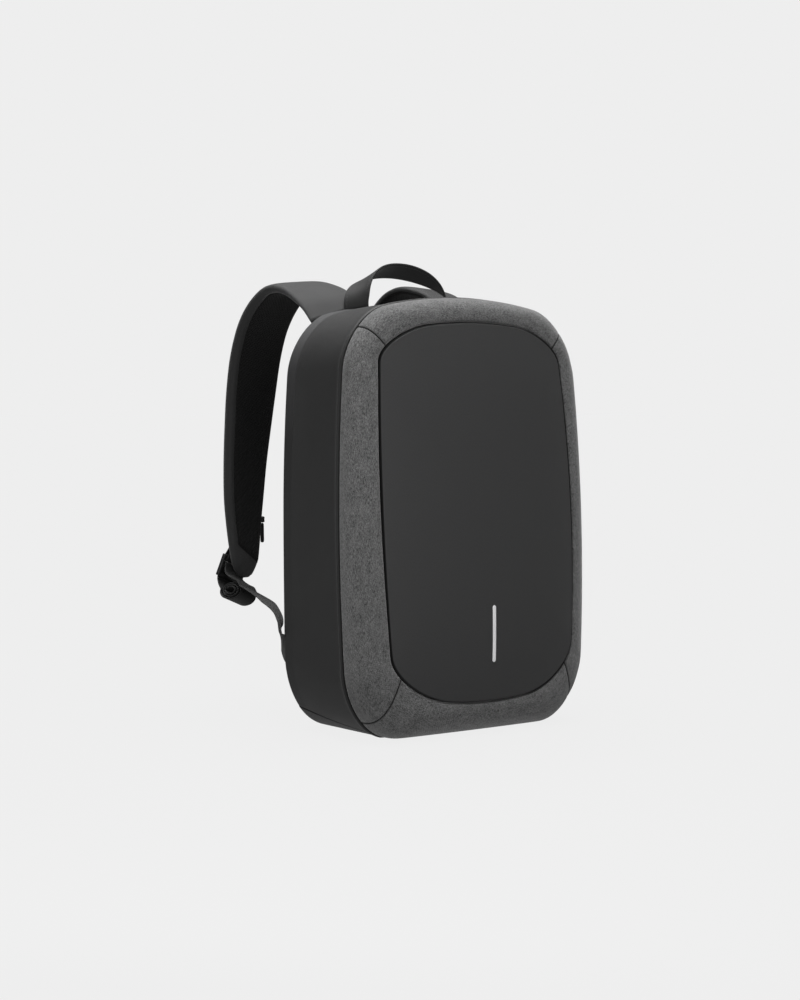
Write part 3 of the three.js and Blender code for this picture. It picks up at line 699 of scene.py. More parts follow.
def ringPiece(name, start, end):
    fine = np.linspace(0, 1, 801)
    middle = [np.array([(start[i] + end[i]) / 2]) for i in range(2)]
    probe = ringPoints(*middle, fine, 0.0)
    run = alongLengths(probe, 1)[0]
    spaced = lambda length: edgeSpaced(length, ring["edge"], ring["edgeSteps"], ring["step"])
    section = np.interp(spaced(run[-1]), run, fine)
    length = outlineLength(seamForm, start[0], end[0])
    along = evenShares(seamForm, start[0], end[0], spaced(length))
    trim = seamGap / 2 / length
    along = trim + along * (1 - 2 * trim)
    seamTurn, panelTurn = (start[i] + (end[i] - start[i]) * along for i in range(2))
    outer = ringPoints(seamTurn, panelTurn, section, 0.0)
    inner = ringPoints(seamTurn, panelTurn, section, ring["wall"])
    across, down = alongLengths(outer, 1), alongLengths(outer, 0)
    fromSeam, fromPanel = across, across[:, -1:] - across
    fromEnd = np.minimum(down, down[-1:] - down)
    nearest = np.minimum(np.minimum(fromSeam, fromPanel), fromEnd)
    sink = np.maximum.reduce([
        ring["seamDepth"] * rolled(fromSeam, ring["seamWidth"]),
        panel["grooveDepth"] * rolled(fromPanel, panel["grooveWidth"]),
        ring["endDepth"] * rolled(fromEnd, ring["endWidth"]),
    ]) + ring["puffDepth"] * rolled(nearest, ring["puffWidth"])
    outer = outer - gridNormals(outer, (0, 0, midHeight)) * sink[..., None]
    # Painted shade: dark in the grooves along the gusset seam, the panel and the ends, with a fainter painted
    # shade fading over 16 mm from the gusset seam.
    seamShade = np.maximum.reduce([
        paintedEdgeMask(fromSeam, 1.2, 0.6), 0.3 * paintedEdgeMask(fromSeam, 0, 16),
        paintedEdgeMask(fromPanel, 0.9), paintedEdgeMask(fromEnd, 0.35),
    ])
    made = shellObject(name, outer, inner, {"seamShade": seamShade})
    held = np.concatenate([(nearest < ring["held"]).ravel(), np.ones(inner.shape[0] * inner.shape[1], bool)])
    puffUp(made, held, ring["pressure"], ring["cap"])
    return made


# Gusset and base

band = {
    "wall": 5.0, "rim": 3.0, "baseRim": 1.0, "rimWidth": 3.4, "rollWidth": 1.4, "rollDepth": 3.8,
    "endWidth": 1.6, "endDepth": 1.2, "bead": 1.0, "beadPlace": 3.2, "beadWidth": 1.4,
    "crease": 16.0, "creaseDepth": 1.6, "creaseLead": 34.0, "creaseEnd": 3.0,
    # The last two set the height where the painted sheen begins, and the rise over which it grows to full.
    "creaseFrom": 230.0, "creaseRise": 130.0, "creaseLeast": 0.2, "paintedSheenFrom": 295.0, "paintedSheenRise": 80.0,
}
baseSeam = {"front": 4.76, "back": 4.5}


def creaseDip(toBack, z):
    # Squared on its way to the crease, nearly straight up to the rolled rim behind it, and fading downwards.
    crease, end = band["crease"], band["creaseEnd"]
    before = np.clip(1 - (toBack - crease) / band["creaseLead"], 0, 1) ** 2 * (toBack >= crease)
    behind = np.clip((toBack - end) / (crease - end), 0, 1) ** 0.9 * (toBack < crease)
    share = 0.25 + 0.75 * (z - band["creaseFrom"]) / band["creaseRise"]
    return band["creaseDepth"] * (before + behind) * np.clip(share, band["creaseLeast"], 1)


def bandPiece(name, start, end, rim):
    # Straight lines from the front seam outline to the back outline, rounded over at the back rim.
    distance = edgeSpaced(body["depth"] - seamGap, 5.0, 10, 4.0)
    creaseAt = body["depth"] - seamGap - band["crease"]
    distance = np.sort(np.concatenate([distance, creaseAt + np.array([-1.2, -0.1, 0.1, 1.2, 2.6])]))
    back = (distance / distance[-1])[:, None]
    toBack = (1 - back) * body["depth"]
    sunk = rim * rolled(toBack, band["rimWidth"])
    length = outlineLength(backForm, start[1], end[1])
    along = evenShares(backForm, start[1], end[1], edgeSpaced(length, 4.0, 5, 5.0))
    trim = seamGap / 2 / length
    along = (trim + along * (1 - 2 * trim))[None, :]
    first = start[0] + (start[1] - start[0]) * back
    last = end[0] + (end[1] - end[0]) * back
    turn = first + (last - first) * along

    def wallPoints(depth):
        frontX, frontZ = outlinePoint(seamForm, turn, depth)
        rearX, rearZ = outlinePoint(backForm, turn, depth)
        startY = seamY(frontZ) + seamGap
        return joined(frontX + (rearX - frontX) * back, startY + (backPlane - startY) * back,
                      frontZ + (rearZ - frontZ) * back)

    outer, inner = wallPoints(sunk * np.ones_like(turn)), wallPoints(band["wall"] * np.ones_like(turn))
    down, across = alongLengths(outer, 0), alongLengths(outer, 1)
    fromEnd = np.minimum(across, across[:, -1:] - across)
    sink = np.maximum(band["rollDepth"] * rolled(down, band["rollWidth"]),
                      band["endDepth"] * rolled(fromEnd, band["endWidth"]))
    sink = sink - band["bead"] * np.exp(-((down - band["beadPlace"]) / band["beadWidth"]) ** 2)
    creased = rim > band["baseRim"]
    sink = sink + creaseDip(toBack, outer[..., 2]) * creased
    outer = outer - gridNormals(outer, (0, 0, midHeight)) * sink[..., None]
    outer[..., 2] = np.maximum(outer[..., 2], 0)
    # Painted shade: dark in the grooves at the front seam and at both ends.
    seamShade = np.maximum(paintedEdgeMask(down, 1.0, 0.6), paintedEdgeMask(fromEnd, 0.3, 0.6))
    # Painted sheen: the strip behind the crease is paler, from a height upwards, growing towards the top.
    high = np.clip((outer[..., 2] - band["paintedSheenFrom"]) / band["paintedSheenRise"], 0, 1)
    paintedSheen = paintedEdgeMask(toBack, band["crease"] - 0.3, 1.0) * high * creased
    return shellObject(name, outer, inner, {"seamShade": seamShade, "paintedSheen": paintedSheen})


# Back panel

backPad = {
    "wall": 6.0, "crown": 6.0, "edgeSink": 1.0, "border": 0.93, "columns": 120,
    "borderRows": (0.9, 0.915, 0.925, 0.93, 0.935, 0.945, 0.96, 0.975, 0.985, 0.993, 1),
    "channelDepth": 1.6, "channelWidth": 0.006, "roundDepth": 2.0, "roundWidth": 3.0, "reach": 150,
}


def backPanel():
    # Padded plate inside the rim, crowned as one minus the fourth power, with a sunk seam along its border.
    turn = evenShares(backForm, 0, 8, count=backPad["columns"])[:-1] * 8
    edgeX, edgeZ = outlinePoint(backForm, turn, band["wall"] + seamGap)
    middle = backForm["middle"]
    share = np.concatenate([np.linspace(0.04, 0.88, 26), backPad["borderRows"]])[:, None]
    rise = backPad["crown"] * (1 - np.minimum(1, share / backPad["border"]) ** 4)
    channel = backPad["channelDepth"] * np.exp(-((share - backPad["border"]) / backPad["channelWidth"]) ** 2)
    rounded = backPad["roundDepth"] * rolled((1 - share) * backPad["reach"], backPad["roundWidth"])
    depth = backPlane - backPad["edgeSink"] + rise - channel - rounded
    outer = joined(edgeX * share, depth, middle + (edgeZ - middle) * share)
    under = np.array([1, 0.7, 0.35, 0.04])[:, None]
    inner = joined(edgeX * under, backPlane - backPad["wall"], middle + (edgeZ - middle) * under)
    points = np.concatenate([outer, inner])
    made = tubeObject("backPanelPad", points, np.linspace(0, 1, backPad["columns"] + 1))
    made.data.set_sharp_from_angle(angle=math.radians(65))
    return made


# Light bar

bar = {"length": 57.0, "width": 4.0, "thickness": 0.8, "bottom": 74.0, "offset": 2.5}


def lightBar():
    # Round-ended strip on the dome of the panel: its half width follows a circle at both ends.
    half = bar["width"] / 2
    angle = np.linspace(0.12, np.pi / 2, 7)
    fromEnd = np.concatenate([half * (1 - np.cos(angle)), np.linspace(half, bar["length"] / 2, 8)[1:]])
    width = np.concatenate([half * np.sin(angle), np.full(7, half)])
    distance = np.concatenate([fromEnd, bar["length"] - fromEnd[-2::-1]])
    width = np.concatenate([width, width[-2::-1]])
    z = bar["bottom"] + distance
    middle = panelForm["middle"]
    edgeShare = (middle - z) / panelForm["tall"]
    face = frontY(0, z) - front["swell"] * (1 - edgeShare ** 4) - 0.1
    profile = np.array([
        (1, 0), (0.97, 0.75), (0.7, 1), (0.2, 1.05), (-0.2, 1.05), (-0.7, 1), (-0.97, 0.75), (-1, 0)])
    x = bar["offset"] + profile[None, :, 0] * width[:, None]
    y = face[:, None] - profile[None, :, 1] * bar["thickness"]
    return tubeObject("lightBarFilm", joined(x, y, z[:, None]), np.linspace(0, 1, 9))


# Shoulder straps

strap = {
    "width": 63.0, "thickness": 14.0, "reach": 185.0, "end": 141.0, "peak": 461.0, "spread": 81.5,
    "fullness": 3.4, "border": 7.0, "tuck": 4.0, "laxOut": 5.5, "laxNear": 4.0, "laxLow": 3.0, "laxEnd": 12.5,
    "borderPlace": 4.2, "borderWidth": 2.8, "borderRise": 1.9, "pressure": 0.8, "cap": 0.6,
}
strapTable = np.array([  # shares of the way back and up, of the spread, the width and the thickness, and tilt
    (0.002, 0.9, 1.0, 1.04, 0.42, 0.26), (0.075, 0.937, 1.0, 1.03, 0.5, 0.22),
    (0.17, 0.965, 0.99, 1.02, 0.56, 0.17), (0.28, 0.988, 0.98, 1.02, 0.62, 0.1),
    (0.39, 1.0, 0.97, 1.02, 0.68, 0.08), (0.49, 0.997, 0.97, 1.02, 0.74, 0.07),
    (0.58, 0.98, 0.96, 1.02, 0.8, 0.06), (0.675, 0.945, 0.96, 1.02, 0.86, 0.04),
    (0.76, 0.9, 0.96, 1.01, 0.92, 0.02), (0.84, 0.84, 0.95, 1.0, 0.97, 0),
    (0.905, 0.75, 0.95, 1.0, 1, 0), (0.95, 0.64, 0.95, 0.98, 1, 0),
    (0.98, 0.52, 0.96, 0.92, 1, 0), (0.997, 0.4, 0.98, 0.85, 0.98, 0),
    (1.0, 0.28, 1.0, 0.78, 0.94, 0), (0.995, 0.19, 1.01, 0.69, 0.9, 0),
    (0.98, 0.11, 1.02, 0.6, 0.84, 0), (0.962, 0.045, 1.03, 0.5, 0.7, 0),
    (0.945, 0.0, 1.04, 0.34, 0.4, 0),
])


def strapPlace(stations, side):
    # Between its ends the right strap lies a little further out, nearer and lower, by a power of a sine.
    rows = catmull(strapTable, stations)
    lax = (side > 0) * np.sin(np.pi * np.clip(stations / strap["laxEnd"], 0, 1)) ** 1.5
    x = rows[:, 2] * strap["spread"] + strap["laxOut"] * lax
    y = backPlane + rows[:, 0] * strap["reach"]
    z = strap["end"] + (strap["peak"] - strap["end"]) * rows[:, 1]
    return rows, joined(x, y - strap["laxNear"] * lax, z - strap["laxLow"] * lax)


def strapFrames(stations, side):
    # Points on the strap's outer face, with the directions across it, into it and along it, at any stations.
    fine = np.linspace(0, 18, 1801)
    rows, point = strapPlace(fine, side)
    tangent = np.gradient(point, axis=0)
    tangent[:, 0] = 0
    tangent = unit(tangent)
    into = joined(0, tangent[:, 2], -tangent[:, 1])
    across = unit(joined(-1, 0, rows[:, 5]))
    pick = lambda column: np.interp(stations, fine, column)
    picked = lambda part: np.stack([pick(part[:, i]) for i in range(3)], axis=-1)
    turned = [picked(part) for part in (point, across, into, tangent)]
    return *turned, pick(rows[:, 3]) * strap["width"], pick(rows[:, 4]) * strap["thickness"]


def strapStations(first, last, step, side):
    # Evenly spaced stations between two of the table's rows.
    fine = np.linspace(first, last, 1201)
    run = alongLengths(strapPlace(fine, side)[1], 0)
    return np.interp(np.linspace(0, run[-1], round(run[-1] / step) + 1), run, fine)


def padDepth(u):
    # Upper half of a superellipse: height of the pad's inner face over its middle, u from -1 to 1 across.
    return (1 - np.abs(u) ** strap["fullness"]) ** (1 / strap["fullness"])


def superLoop(width, thickness, fullness, count):
    # Evenly spaced unit points round a superellipse of the given proportions, starting at its right end.
    angle = np.linspace(0, 2 * np.pi, 4001)
    bend = lambda value: np.sign(value) * np.abs(value) ** (2 / fullness)
    x, y = bend(np.cos(angle)), bend(np.sin(angle))
    run = np.concatenate([[0], np.cumsum(np.hypot(np.diff(x) * width, np.diff(y) * thickness))])
    wanted = (np.arange(count) + 0.5) / count * run[-1]
    return np.interp(wanted, run, x), np.interp(wanted, run, y)


def strapPad(side):
    # A superellipse carried along the frames. A rolled border stands up beside the lining, at the outer edge.
    stations = np.concatenate([strapStations(0, 17, 4.5, side), np.linspace(17, 18, 9)[1:]])
    point, across, into, tangent, width, thickness = strapFrames(stations, side)
    end, shrink = np.array([0.7, 1.2, 1.5, 1.6]), np.array([0.85, 0.6, 0.35, 0.12])
    tucked, tip = point[:1] - tangent[:1] * strap["tuck"], point[-1] + tangent[-1] * end[:, None]
    point = np.concatenate([tucked, point, tip])
    across, into = (np.concatenate([v[:1], v, np.repeat(v[-1:], 4, axis=0)]) for v in (across, into))
    toEnd = np.clip((18 - stations) / 1.3, 0, 1)
    width = width * (0.62 + 0.38 * np.sqrt(1 - (1 - toEnd) ** 2))
    width = np.concatenate([width[:1], width, width[-1] * (0.35 + 0.65 * shrink)])
    full = np.concatenate([thickness[:1], thickness, np.full(4, thickness[-1])])
    thin = np.concatenate([np.ones(len(thickness) + 1), shrink])
    u, v = superLoop(strap["width"], strap["thickness"], strap["fullness"], 56)
    half = width[:, None] / 2
    fromOuter = half * (1 + u)[None, :]
    border = np.exp(-((fromOuter - strap["borderPlace"]) / strap["borderWidth"]) ** 2) * (v > 0)[None, :]
    row = np.arange(len(width))
    fade = np.clip((row - 3) / 6, 0, 1) * np.clip((len(width) - 16 - row) / 6, 0, 1)
    depth = full[:, None] * (0.5 + 0.5 * v[None, :] * thin[:, None])
    depth = depth + strap["borderRise"] * border * fade[:, None]
    points = swept(point, across, into, half * u[None, :], depth)
    points[..., 0] *= side
    made = tubeObject(f"strapPad{sideNames[side]}", points, np.linspace(0, 150, 57))
    between = (full > 6) & (row > 3) & (row < len(row) - 14)
    free = between[:, None] & (np.abs(u)[None, :] < 0.86)
    puffUp(made, ~free.ravel(), strap["pressure"], strap["cap"])
    return made


lining = {
    "first": 1.6, "firstSlant": 0.25, "last": 16.0, "lastSlant": 1.1, "edge": 0.985,
    "skin": 0.35, "puff": 1.15, "puffWidth": 3.0,
}


def strapLining(side):
    # Skin laid over the pad's superellipse, from the rolled border round the inner edge, cut slantwise below.
    share = np.concatenate([np.linspace(0, 0.06, 7) ** 1.2, np.linspace(0, 1, 27)[1:] ** 0.9])
    share = np.unique(np.clip(share, 0, 1))
    length = np.linspace(0, 1, 85)
    start = lining["first"] + lining["firstSlant"] * (1 - share) ** 2
    end = lining["last"] + lining["lastSlant"] * share ** 0.8
    stations = start[None, :] + (end - start)[None, :] * length[:, None]
    point, across, into, tangent, width, thickness = strapFrames(stations, side)
    low = -1 + 2 * (strap["border"] + 0.8) / width
    u = low + (lining["edge"] - low) * share[None, :]
    pad = thickness * (0.5 + 0.5 * padDepth(np.clip(u, -0.999, 0.999)))
    over, down = alongLengths(point + across * (u * width / 2)[..., None], 1), alongLengths(point, 0)
    fromEdge = np.minimum(np.minimum(over, over[:, -1:] - over), np.minimum(down, down[-1:] - down))
    near = np.clip(1 - fromEdge / lining["puffWidth"], 0, 1)
    skin = lining["skin"] + lining["puff"] * np.sqrt(1 - near ** 2)
    lay = lambda height: point + across * (u * width / 2)[..., None] + into * (pad + height)[..., None]
    outer, inner = lay(skin), lay(0.05 * np.ones_like(skin))
    outer[..., 0] *= side
    inner[..., 0] *= side
    return shellObject(f"strapLining{sideNames[side]}", outer, inner)


sideNames = {-1: "Left", 1: "Right"}

# Webbing and ladder lock

lock = {
    "height": 25.0, "thickness": 5.0, "bar": 3.6, "shift": 5.5, "standOff": 2.0, "raise": 7.6,
    "tilt": math.radians(23), "loop": 34.0, "loopSag": 1.1, "bevel": 1.1,
}
webbing = {
    "width": 25.0, "thickness": 1.6, "clearance": 0.4, "anchor": 83.0, "rimRound": 3.0,
    "rollRadius": 10.2, "rollCore": 3.0, "rollDrop": 26.5, "rollTuck": 27.5, "rollTurns": 3,
    "rollLength": 140.0, "rollTurn": math.radians(-12), "rollSlide": -2.5,
    "rollShift": (-3.0, 1.5, -0.5), "rollOval": 1.6, "rollLead": 14.0,
}
webbingTable = np.array([  # shares of the way in x, y and z, width, and direction across
    (0, 0, 0, 1.25, 0, 0, -1), (0, 0.065, 0.22, 1, -0.45, 0.4, -0.75),
    (0.01, 0.095, 0.46, 1, -0.55, 0.65, -0.4),
    (0.04, 0.13, 0.59, 1, -0.64, 0.6, -0.39), (0.13, 0.2, 0.69, 1, -0.77, 0.4, -0.44),
    (0.35, 0.37, 0.79, 1, -0.88, 0.12, -0.4), (0.65, 0.6, 0.88, 1, -0.92, -0.07, -0.36),
    (1, 1, 1, 1, -math.cos(lock["tilt"]), 0, -math.sin(lock["tilt"])),
])
lockCentre = np.array([
    1.04 * strap["spread"] + lock["shift"],
    backPlane + strap["reach"] + lock["standOff"] + lock["thickness"] / 2,
    strap["end"] + lock["raise"],
])
halfWebbing = webbing["thickness"] / 2 + webbing["clearance"]


def tilted(vectors):
    # Turned about the fore and aft line by the lock's tilt.
    cosine, sine = math.cos(lock["tilt"]), math.sin(lock["tilt"])
    x, y, z = np.moveaxis(np.asarray(vectors, float), -1, 0)
    return joined(x * cosine - z * sine, y, x * sine + z * cosine)


def ribbonProfile(width, thickness):
    # Flat section with round edges: over the top from right to left, then back below.
    round_ = np.radians([15, 45, 75])
    flat = np.array([0.95, 0.6, 0.2, -0.2, -0.6, -0.95])
    half = width / 2 - thickness / 2
    out, rise = thickness / 2 * np.cos(round_), thickness / 2 * np.sin(round_)
    across = np.concatenate([half + out, half * flat, -half - out[::-1]])
    through = np.concatenate([rise, np.full(6, thickness / 2), rise[::-1]])
    return np.concatenate([across, across[::-1]]), np.concatenate([through, -through[::-1]])


def ribbonObject(name, middle, across, through, width, thickness, side, stretch=None, paintedShade=None):
    # The flat section carried along a path. Stretch widens it, and the last argument marks the end that takes
    # the darker tone of painted shade.
    u, v = ribbonProfile(width, thickness)
    stretch = np.ones(len(middle)) if stretch is None else stretch
    points = swept(middle, across, through, stretch[:, None] * u[None, :], v[None, :])
    points[..., 0] *= side
    paintedShade = np.zeros(len(middle)) if paintedShade is None else paintedShade
    return tubeObject(name, points, np.concatenate([u, u[:1]]), {"paintedShadeEnd": np.repeat(paintedShade, len(u))})


def resampled(points, step):
    # The same path with evenly spaced points, its corners rounded by a smooth curve.
    stations = np.linspace(0, len(points) - 1, 40 * len(points))
    fine = catmull(points, stations)
    run = alongLengths(fine, 0)
    wanted = np.linspace(0, run[-1], round(run[-1] / step) + 1)
    return np.stack([np.interp(wanted, run, fine[:, i]) for i in range(fine.shape[1])], axis=-1)


def lockRoute(route):
    # Frames of a ribbon along a route of y and z in the upright plane through the lock, tilted with it.
    tangent = unit(np.gradient(route, axis=0))
    middle = tilted(joined(0, route[:, 0] - lockCentre[1], route[:, 1] - lockCentre[2])) + lockCentre
    through = tilted(joined(0, tangent[:, 1], -tangent[:, 0]))
    across = np.broadcast_to(tilted((-1, 0, 0)), middle.shape)
    return middle, across, through


def roundBar(z, sense):
    # Nine points on a half circle round a bar of the lock. The sense scales its height, downwards below 0.
    radius = math.hypot(lock["bar"], lock["thickness"]) / 2 + halfWebbing
    angle = np.pi * (1 - np.linspace(0, 1, 9))
    return joined(lockCentre[1] + radius * np.cos(angle), z + sense * radius * np.sin(angle))


rollY, rollZ = lockCentre[1] - webbing["rollTuck"], lockCentre[2] - webbing["rollDrop"]
rollClear = webbing["rollRadius"] + halfWebbing
rollFront = webbing["rollOval"] * webbing["rollRadius"] + halfWebbing


def sideX(form, z, depth):
    # Half the width of an outline at a height, by the parabola that bows its side.
    bow = np.where(z > form["middle"], form["side"], form["foot"])
    return form["half"] - depth - bow * ((z - form["middle"]) / (form["tall"] - depth)) ** 2


def centripetal(points, stations):
    # Smooth curve whose pace follows the square root of the distance between its points.
    ends = np.concatenate([[2 * points[0] - points[1]], points, [2 * points[-1] - points[-2]]])
    low = np.clip(np.floor(stations).astype(int), 0, len(points) - 2)
    t = (stations - low)[:, None]
    a, b, c, d = (ends[low + i] for i in range(4))
    pace = lambda first, second: np.sqrt(np.linalg.norm(second - first, axis=1))[:, None]
    before, here, after = pace(a, b), pace(b, c), pace(c, d)
    start = ((b - a) / before - (c - a) / (before + here) + (c - b) / here) * here
    end = ((c - b) / here - (d - b) / (here + after) + (d - c) / after) * here
    bend, twist = 3 * (c - b) - 2 * start - end, 2 * (b - c) + start + end
    return b + start * t + bend * t ** 2 + twist * t ** 3


def turnedFlat(vectors, angle):
    # Turned about the upright line, by an angle for each vector.
    cosine, sine = np.cos(angle), np.sin(angle)
    x, y, z = np.moveaxis(vectors, -1, 0)
    return joined(x * cosine - y * sine, x * sine + y * cosine, z)


def adjusterWebbing(side):
    # It rises from the seam, passes over the roll, turns over the lock's middle bar and ends in the roll.
    anchor = np.array([sideX(backForm, webbing["anchor"], webbing["rimRound"]) - webbing["thickness"] / 2,
                       backPlane + seamGap, webbing["anchor"]])
    low, inward = rollZ + 0.65 * webbing["rollRadius"], rollY - rollFront
    entry = tilted((0, inward - lockCentre[1], low - lockCentre[2])) + lockCentre
    stations = np.linspace(0, len(webbingTable) - 1, 71)[:-1]
    rising = centripetal(anchor + webbingTable[:, :3] * (entry - anchor), stations)
    number = np.floor(stations).astype(int)
    part = (stations - number)[:, None]
    rows = webbingTable[number] + (webbingTable[number + 1] - webbingTable[number]) * part
    tangent = unit(np.gradient(rising, axis=0))
    square = np.clip(stations / 0.5, 0, 1)[:, None]
    across = rows[:, 4:] - tangent * np.sum(rows[:, 4:] * tangent, axis=1, keepdims=True) * square
    across = unit(across)
    through = unit(np.cross(across, tangent))
    outside = lockCentre[1] + lock["thickness"] / 2 + halfWebbing
    foot = lockCentre[2] - lock["height"] / 2
    rollBack = rollY + webbing["rollOval"] * webbing["rollRadius"]
    turn = np.linspace(0, 1, 90)
    angle = -turn * webbing["rollTurns"] * 2 * np.pi
    radius = webbing["rollRadius"] + (webbing["rollCore"] - webbing["rollRadius"]) * turn
    oval = webbing["rollOval"] * radius
    spiral = joined(rollY + oval * np.cos(angle), rollZ + radius * np.sin(angle))
    lead = np.array([
        (inward, low), (rollY - 0.55 * rollFront, rollZ + rollClear),
        (rollY + 0.1 * rollFront, rollZ + 1.18 * rollClear),
        (rollY + (lockCentre[1] - rollY) * 0.65, foot + 1.2 * lock["bar"]),
        *roundBar(lockCentre[2], 1), (outside, lockCentre[2]), (outside, foot),
        (rollBack + (outside - rollBack) * 0.55, rollZ + (foot - rollZ) * 0.4),
        *spiral,
    ])
    route = resampled(lead, 1.5)
    middle, flat, up = lockRoute(route)
    run = alongLengths(route, 0)
    share = np.clip((run - run[-1] + webbing["rollLength"] + webbing["rollLead"]) / webbing["rollLead"], 0, 1)
    share = share * share * (3 - 2 * share)
    coil = np.clip((run - run[-1] + webbing["rollLength"]) / webbing["rollLength"], 0, 1)
    hub = tilted((0, rollY - lockCentre[1], rollZ - lockCentre[2])) + lockCentre
    middle, flat, up = (turnedFlat(part, share * webbing["rollTurn"]) for part in (middle - hub, flat, up))
    middle = middle + hub + flat * (coil ** 1.5 * webbing["rollSlide"])[:, None]
    middle = middle + np.array(webbing["rollShift"]) * share[:, None]
    stretch = np.concatenate([rows[:, 3], np.ones(len(middle))])
    # Painted shade: the webbing turns to its darker tone towards the lock and stays dark through the roll.
    paintedShade = np.concatenate([np.clip((stations - 5.6) / 1.2, 0, 1), np.ones(len(middle))])
    return ribbonObject(
        f"adjusterWebbing{sideNames[side]}", np.concatenate([rising, middle]), np.concatenate([across, flat]),
        np.concatenate([through, up]), webbing["width"], webbing["thickness"], side, stretch, paintedShade)


def lockLoop(side):
    # Short webbing sewn to the strap's outer face and folded round the lock's top bar.
    top = lockCentre[2] + lock["height"] / 2 - lock["bar"] / 2
    seat = backPlane + strap["reach"] + halfWebbing
    layer = webbing["thickness"] + webbing["clearance"]
    route = np.array([
        (seat, top + lock["loop"]), (seat, top + 0.4 * lock["loop"]), *roundBar(top, -lock["loopSag"]),
        (seat + layer, top + 0.5 * lock["loop"]), (seat + layer, top + lock["loop"]),
    ])
    middle, across, through = lockRoute(resampled(route, 1.5))
    # Painted shade over its whole length, the same darker tone as the webbing's end.
    return ribbonObject(
        f"lockLoop{sideNames[side]}", middle, across, through, webbing["width"], webbing["thickness"], side,
        paintedShade=np.ones(len(middle)))


def mouldedCopy(name, node, width):
    # The solid's own shape with its loose triangles joined, flat faces made whole and edges rounded.
    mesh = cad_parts[node].data.copy()
    mesh.name = name
    work = bmesh.new()
    work.from_mesh(mesh)
    bmesh.ops.remove_doubles(work, verts=work.verts, dist=1e-5)
    bmesh.ops.dissolve_limit(work, angle_limit=0.02, verts=work.verts, edges=work.edges)
    work.to_mesh(mesh)
    work.free()
    made = linked(name, mesh)
    bevel = made.modifiers.new("Bevel", "BEVEL")
    bevel.width = width * metre
    bevel.segments = 3
    mesh.shade_smooth()
    mesh.set_sharp_from_angle(angle=math.radians(60))
    return made


# Zip slider and pull on the strap pocket: rows, power of the ends, width and depth along the height

zipShapes = {
    "Slider": (25, 6, lambda t: 0.82 + 0.18 * np.abs(np.cos(t * np.pi)) ** 1.5, lambda t: 1),
    "Pull": (
        61, 14, lambda t: 1.4 - 0.25 * t,
        lambda t: 1 - 0.14 * (np.cos(t * 2 * np.pi * 9) > 0.2) * (t < 0.55)),
}


def zipPart(side, part):
    # Superellipse sections up the middle of the node's box, drawn in at both ends by one minus a high power.
    low, high = (np.array(corner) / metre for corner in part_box(f"zip_{part}_{sideNames[side]}".lower()))
    rows, power, width, depth = zipShapes[part]
    t = np.linspace(0, 1, rows)
    ends = np.sqrt(np.clip(1 - np.abs(2 * t - 1) ** power, 0.02, 1))
    centre, size = (low + high) / 2, high - low
    u, v = superLoop(1, 1, 3.2, 24)
    points = joined(
        centre[0] + u[None, :] * (size[0] * ends * width(t))[:, None] / 2,
        centre[1] + v[None, :] * (size[1] * ends * depth(t))[:, None] / 2,
        (low[2] + size[2] * t)[:, None])
    return tubeObject(f"zip{part}{sideNames[side]}", points, np.linspace(0, 12, 25))


# Carry handle

handle = {
    "span": 122.0, "rise": 39.5, "width": 26.0, "thickness": 2.4, "footDepth": 7.0, "lean": 18.5,
    "point": 0.98, "tuck": 5.0, "footAcross": (0.81, -0.58, 0.15), "topAcross": (0, -0.84, 0.54),
}
handleTable = np.array([  # turn over the arch, and slant from foot to top
    (0.0, 0), (0.1, 0.05), (0.22, 0.15), (0.36, 0.33), (0.5, 0.52),
    (0.64, 0.7), (0.78, 0.86), (0.9, 0.96), (1.0, 1),
])


def carryHandle():
    # An arch whose width turns from slantwise at the feet to fore and aft at the top.
    stations = np.linspace(0, len(handleTable) - 1, 49)
    turn, slant = catmull(handleTable, stations).T
    half = handle["span"] / 2
    top = backForm["middle"] + backForm["tall"] - backForm["over"] * (half / backForm["half"]) ** 2
    middle = joined(
        -half * np.maximum(0, np.cos(turn * np.pi / 2)) ** handle["point"],
        backPlane - handle["footDepth"] + handle["lean"] * slant,
        top + seamGap + handle["thickness"] / 2 + handle["rise"] * np.sin(turn * np.pi / 2))
    tangent = unit(np.gradient(middle, axis=0))
    tangent[-1] = (1, 0, 0)
    foot, crest = (np.array(handle[key]) for key in ("footAcross", "topAcross"))
    across = foot + (crest - foot) * slant[:, None]
    square = np.minimum(1, turn * 4)[:, None]
    across = unit(across - tangent * np.sum(across * tangent, axis=1, keepdims=True) * square)
    through = unit(np.cross(across, tangent))
    middle = np.concatenate([middle[:1] - (0, 0, handle["tuck"]), middle])
    across, through = (np.concatenate([part[:1], part]) for part in (across, through))
    mirrored = [np.concatenate([part, (part * (-1, 1, 1))[-2::-1]]) for part in (middle, across, through)]
    return ribbonObject("carryHandleBand", *mirrored, handle["width"], handle["thickness"], 1)


# Putting it together

dressed(frontPanel(), panelMaterial, "panel_cloth", "front_panel")
dressed(lightBar(), barMaterial, "reflective_bar", "light_bar")
print("front made")

topLeft, bottomLeft = cornerSeams["top"], cornerSeams["bottom"]
topRight = tuple(3 - turn for turn in topLeft)
bottomRight = tuple(11 - turn for turn in bottomLeft)
for name, start, end in [
    ("Top", topRight, topLeft), ("Left", topLeft, bottomLeft), ("Base", bottomLeft, bottomRight),
    ("Right", tuple(turn - 8 for turn in bottomRight), topRight),
]:
    piece = ringPiece(f"ring{name}", start, end)
    dressed(piece, ringMaterial, "melange_cloth", f"ring_{name.lower()}")
print("ring made")

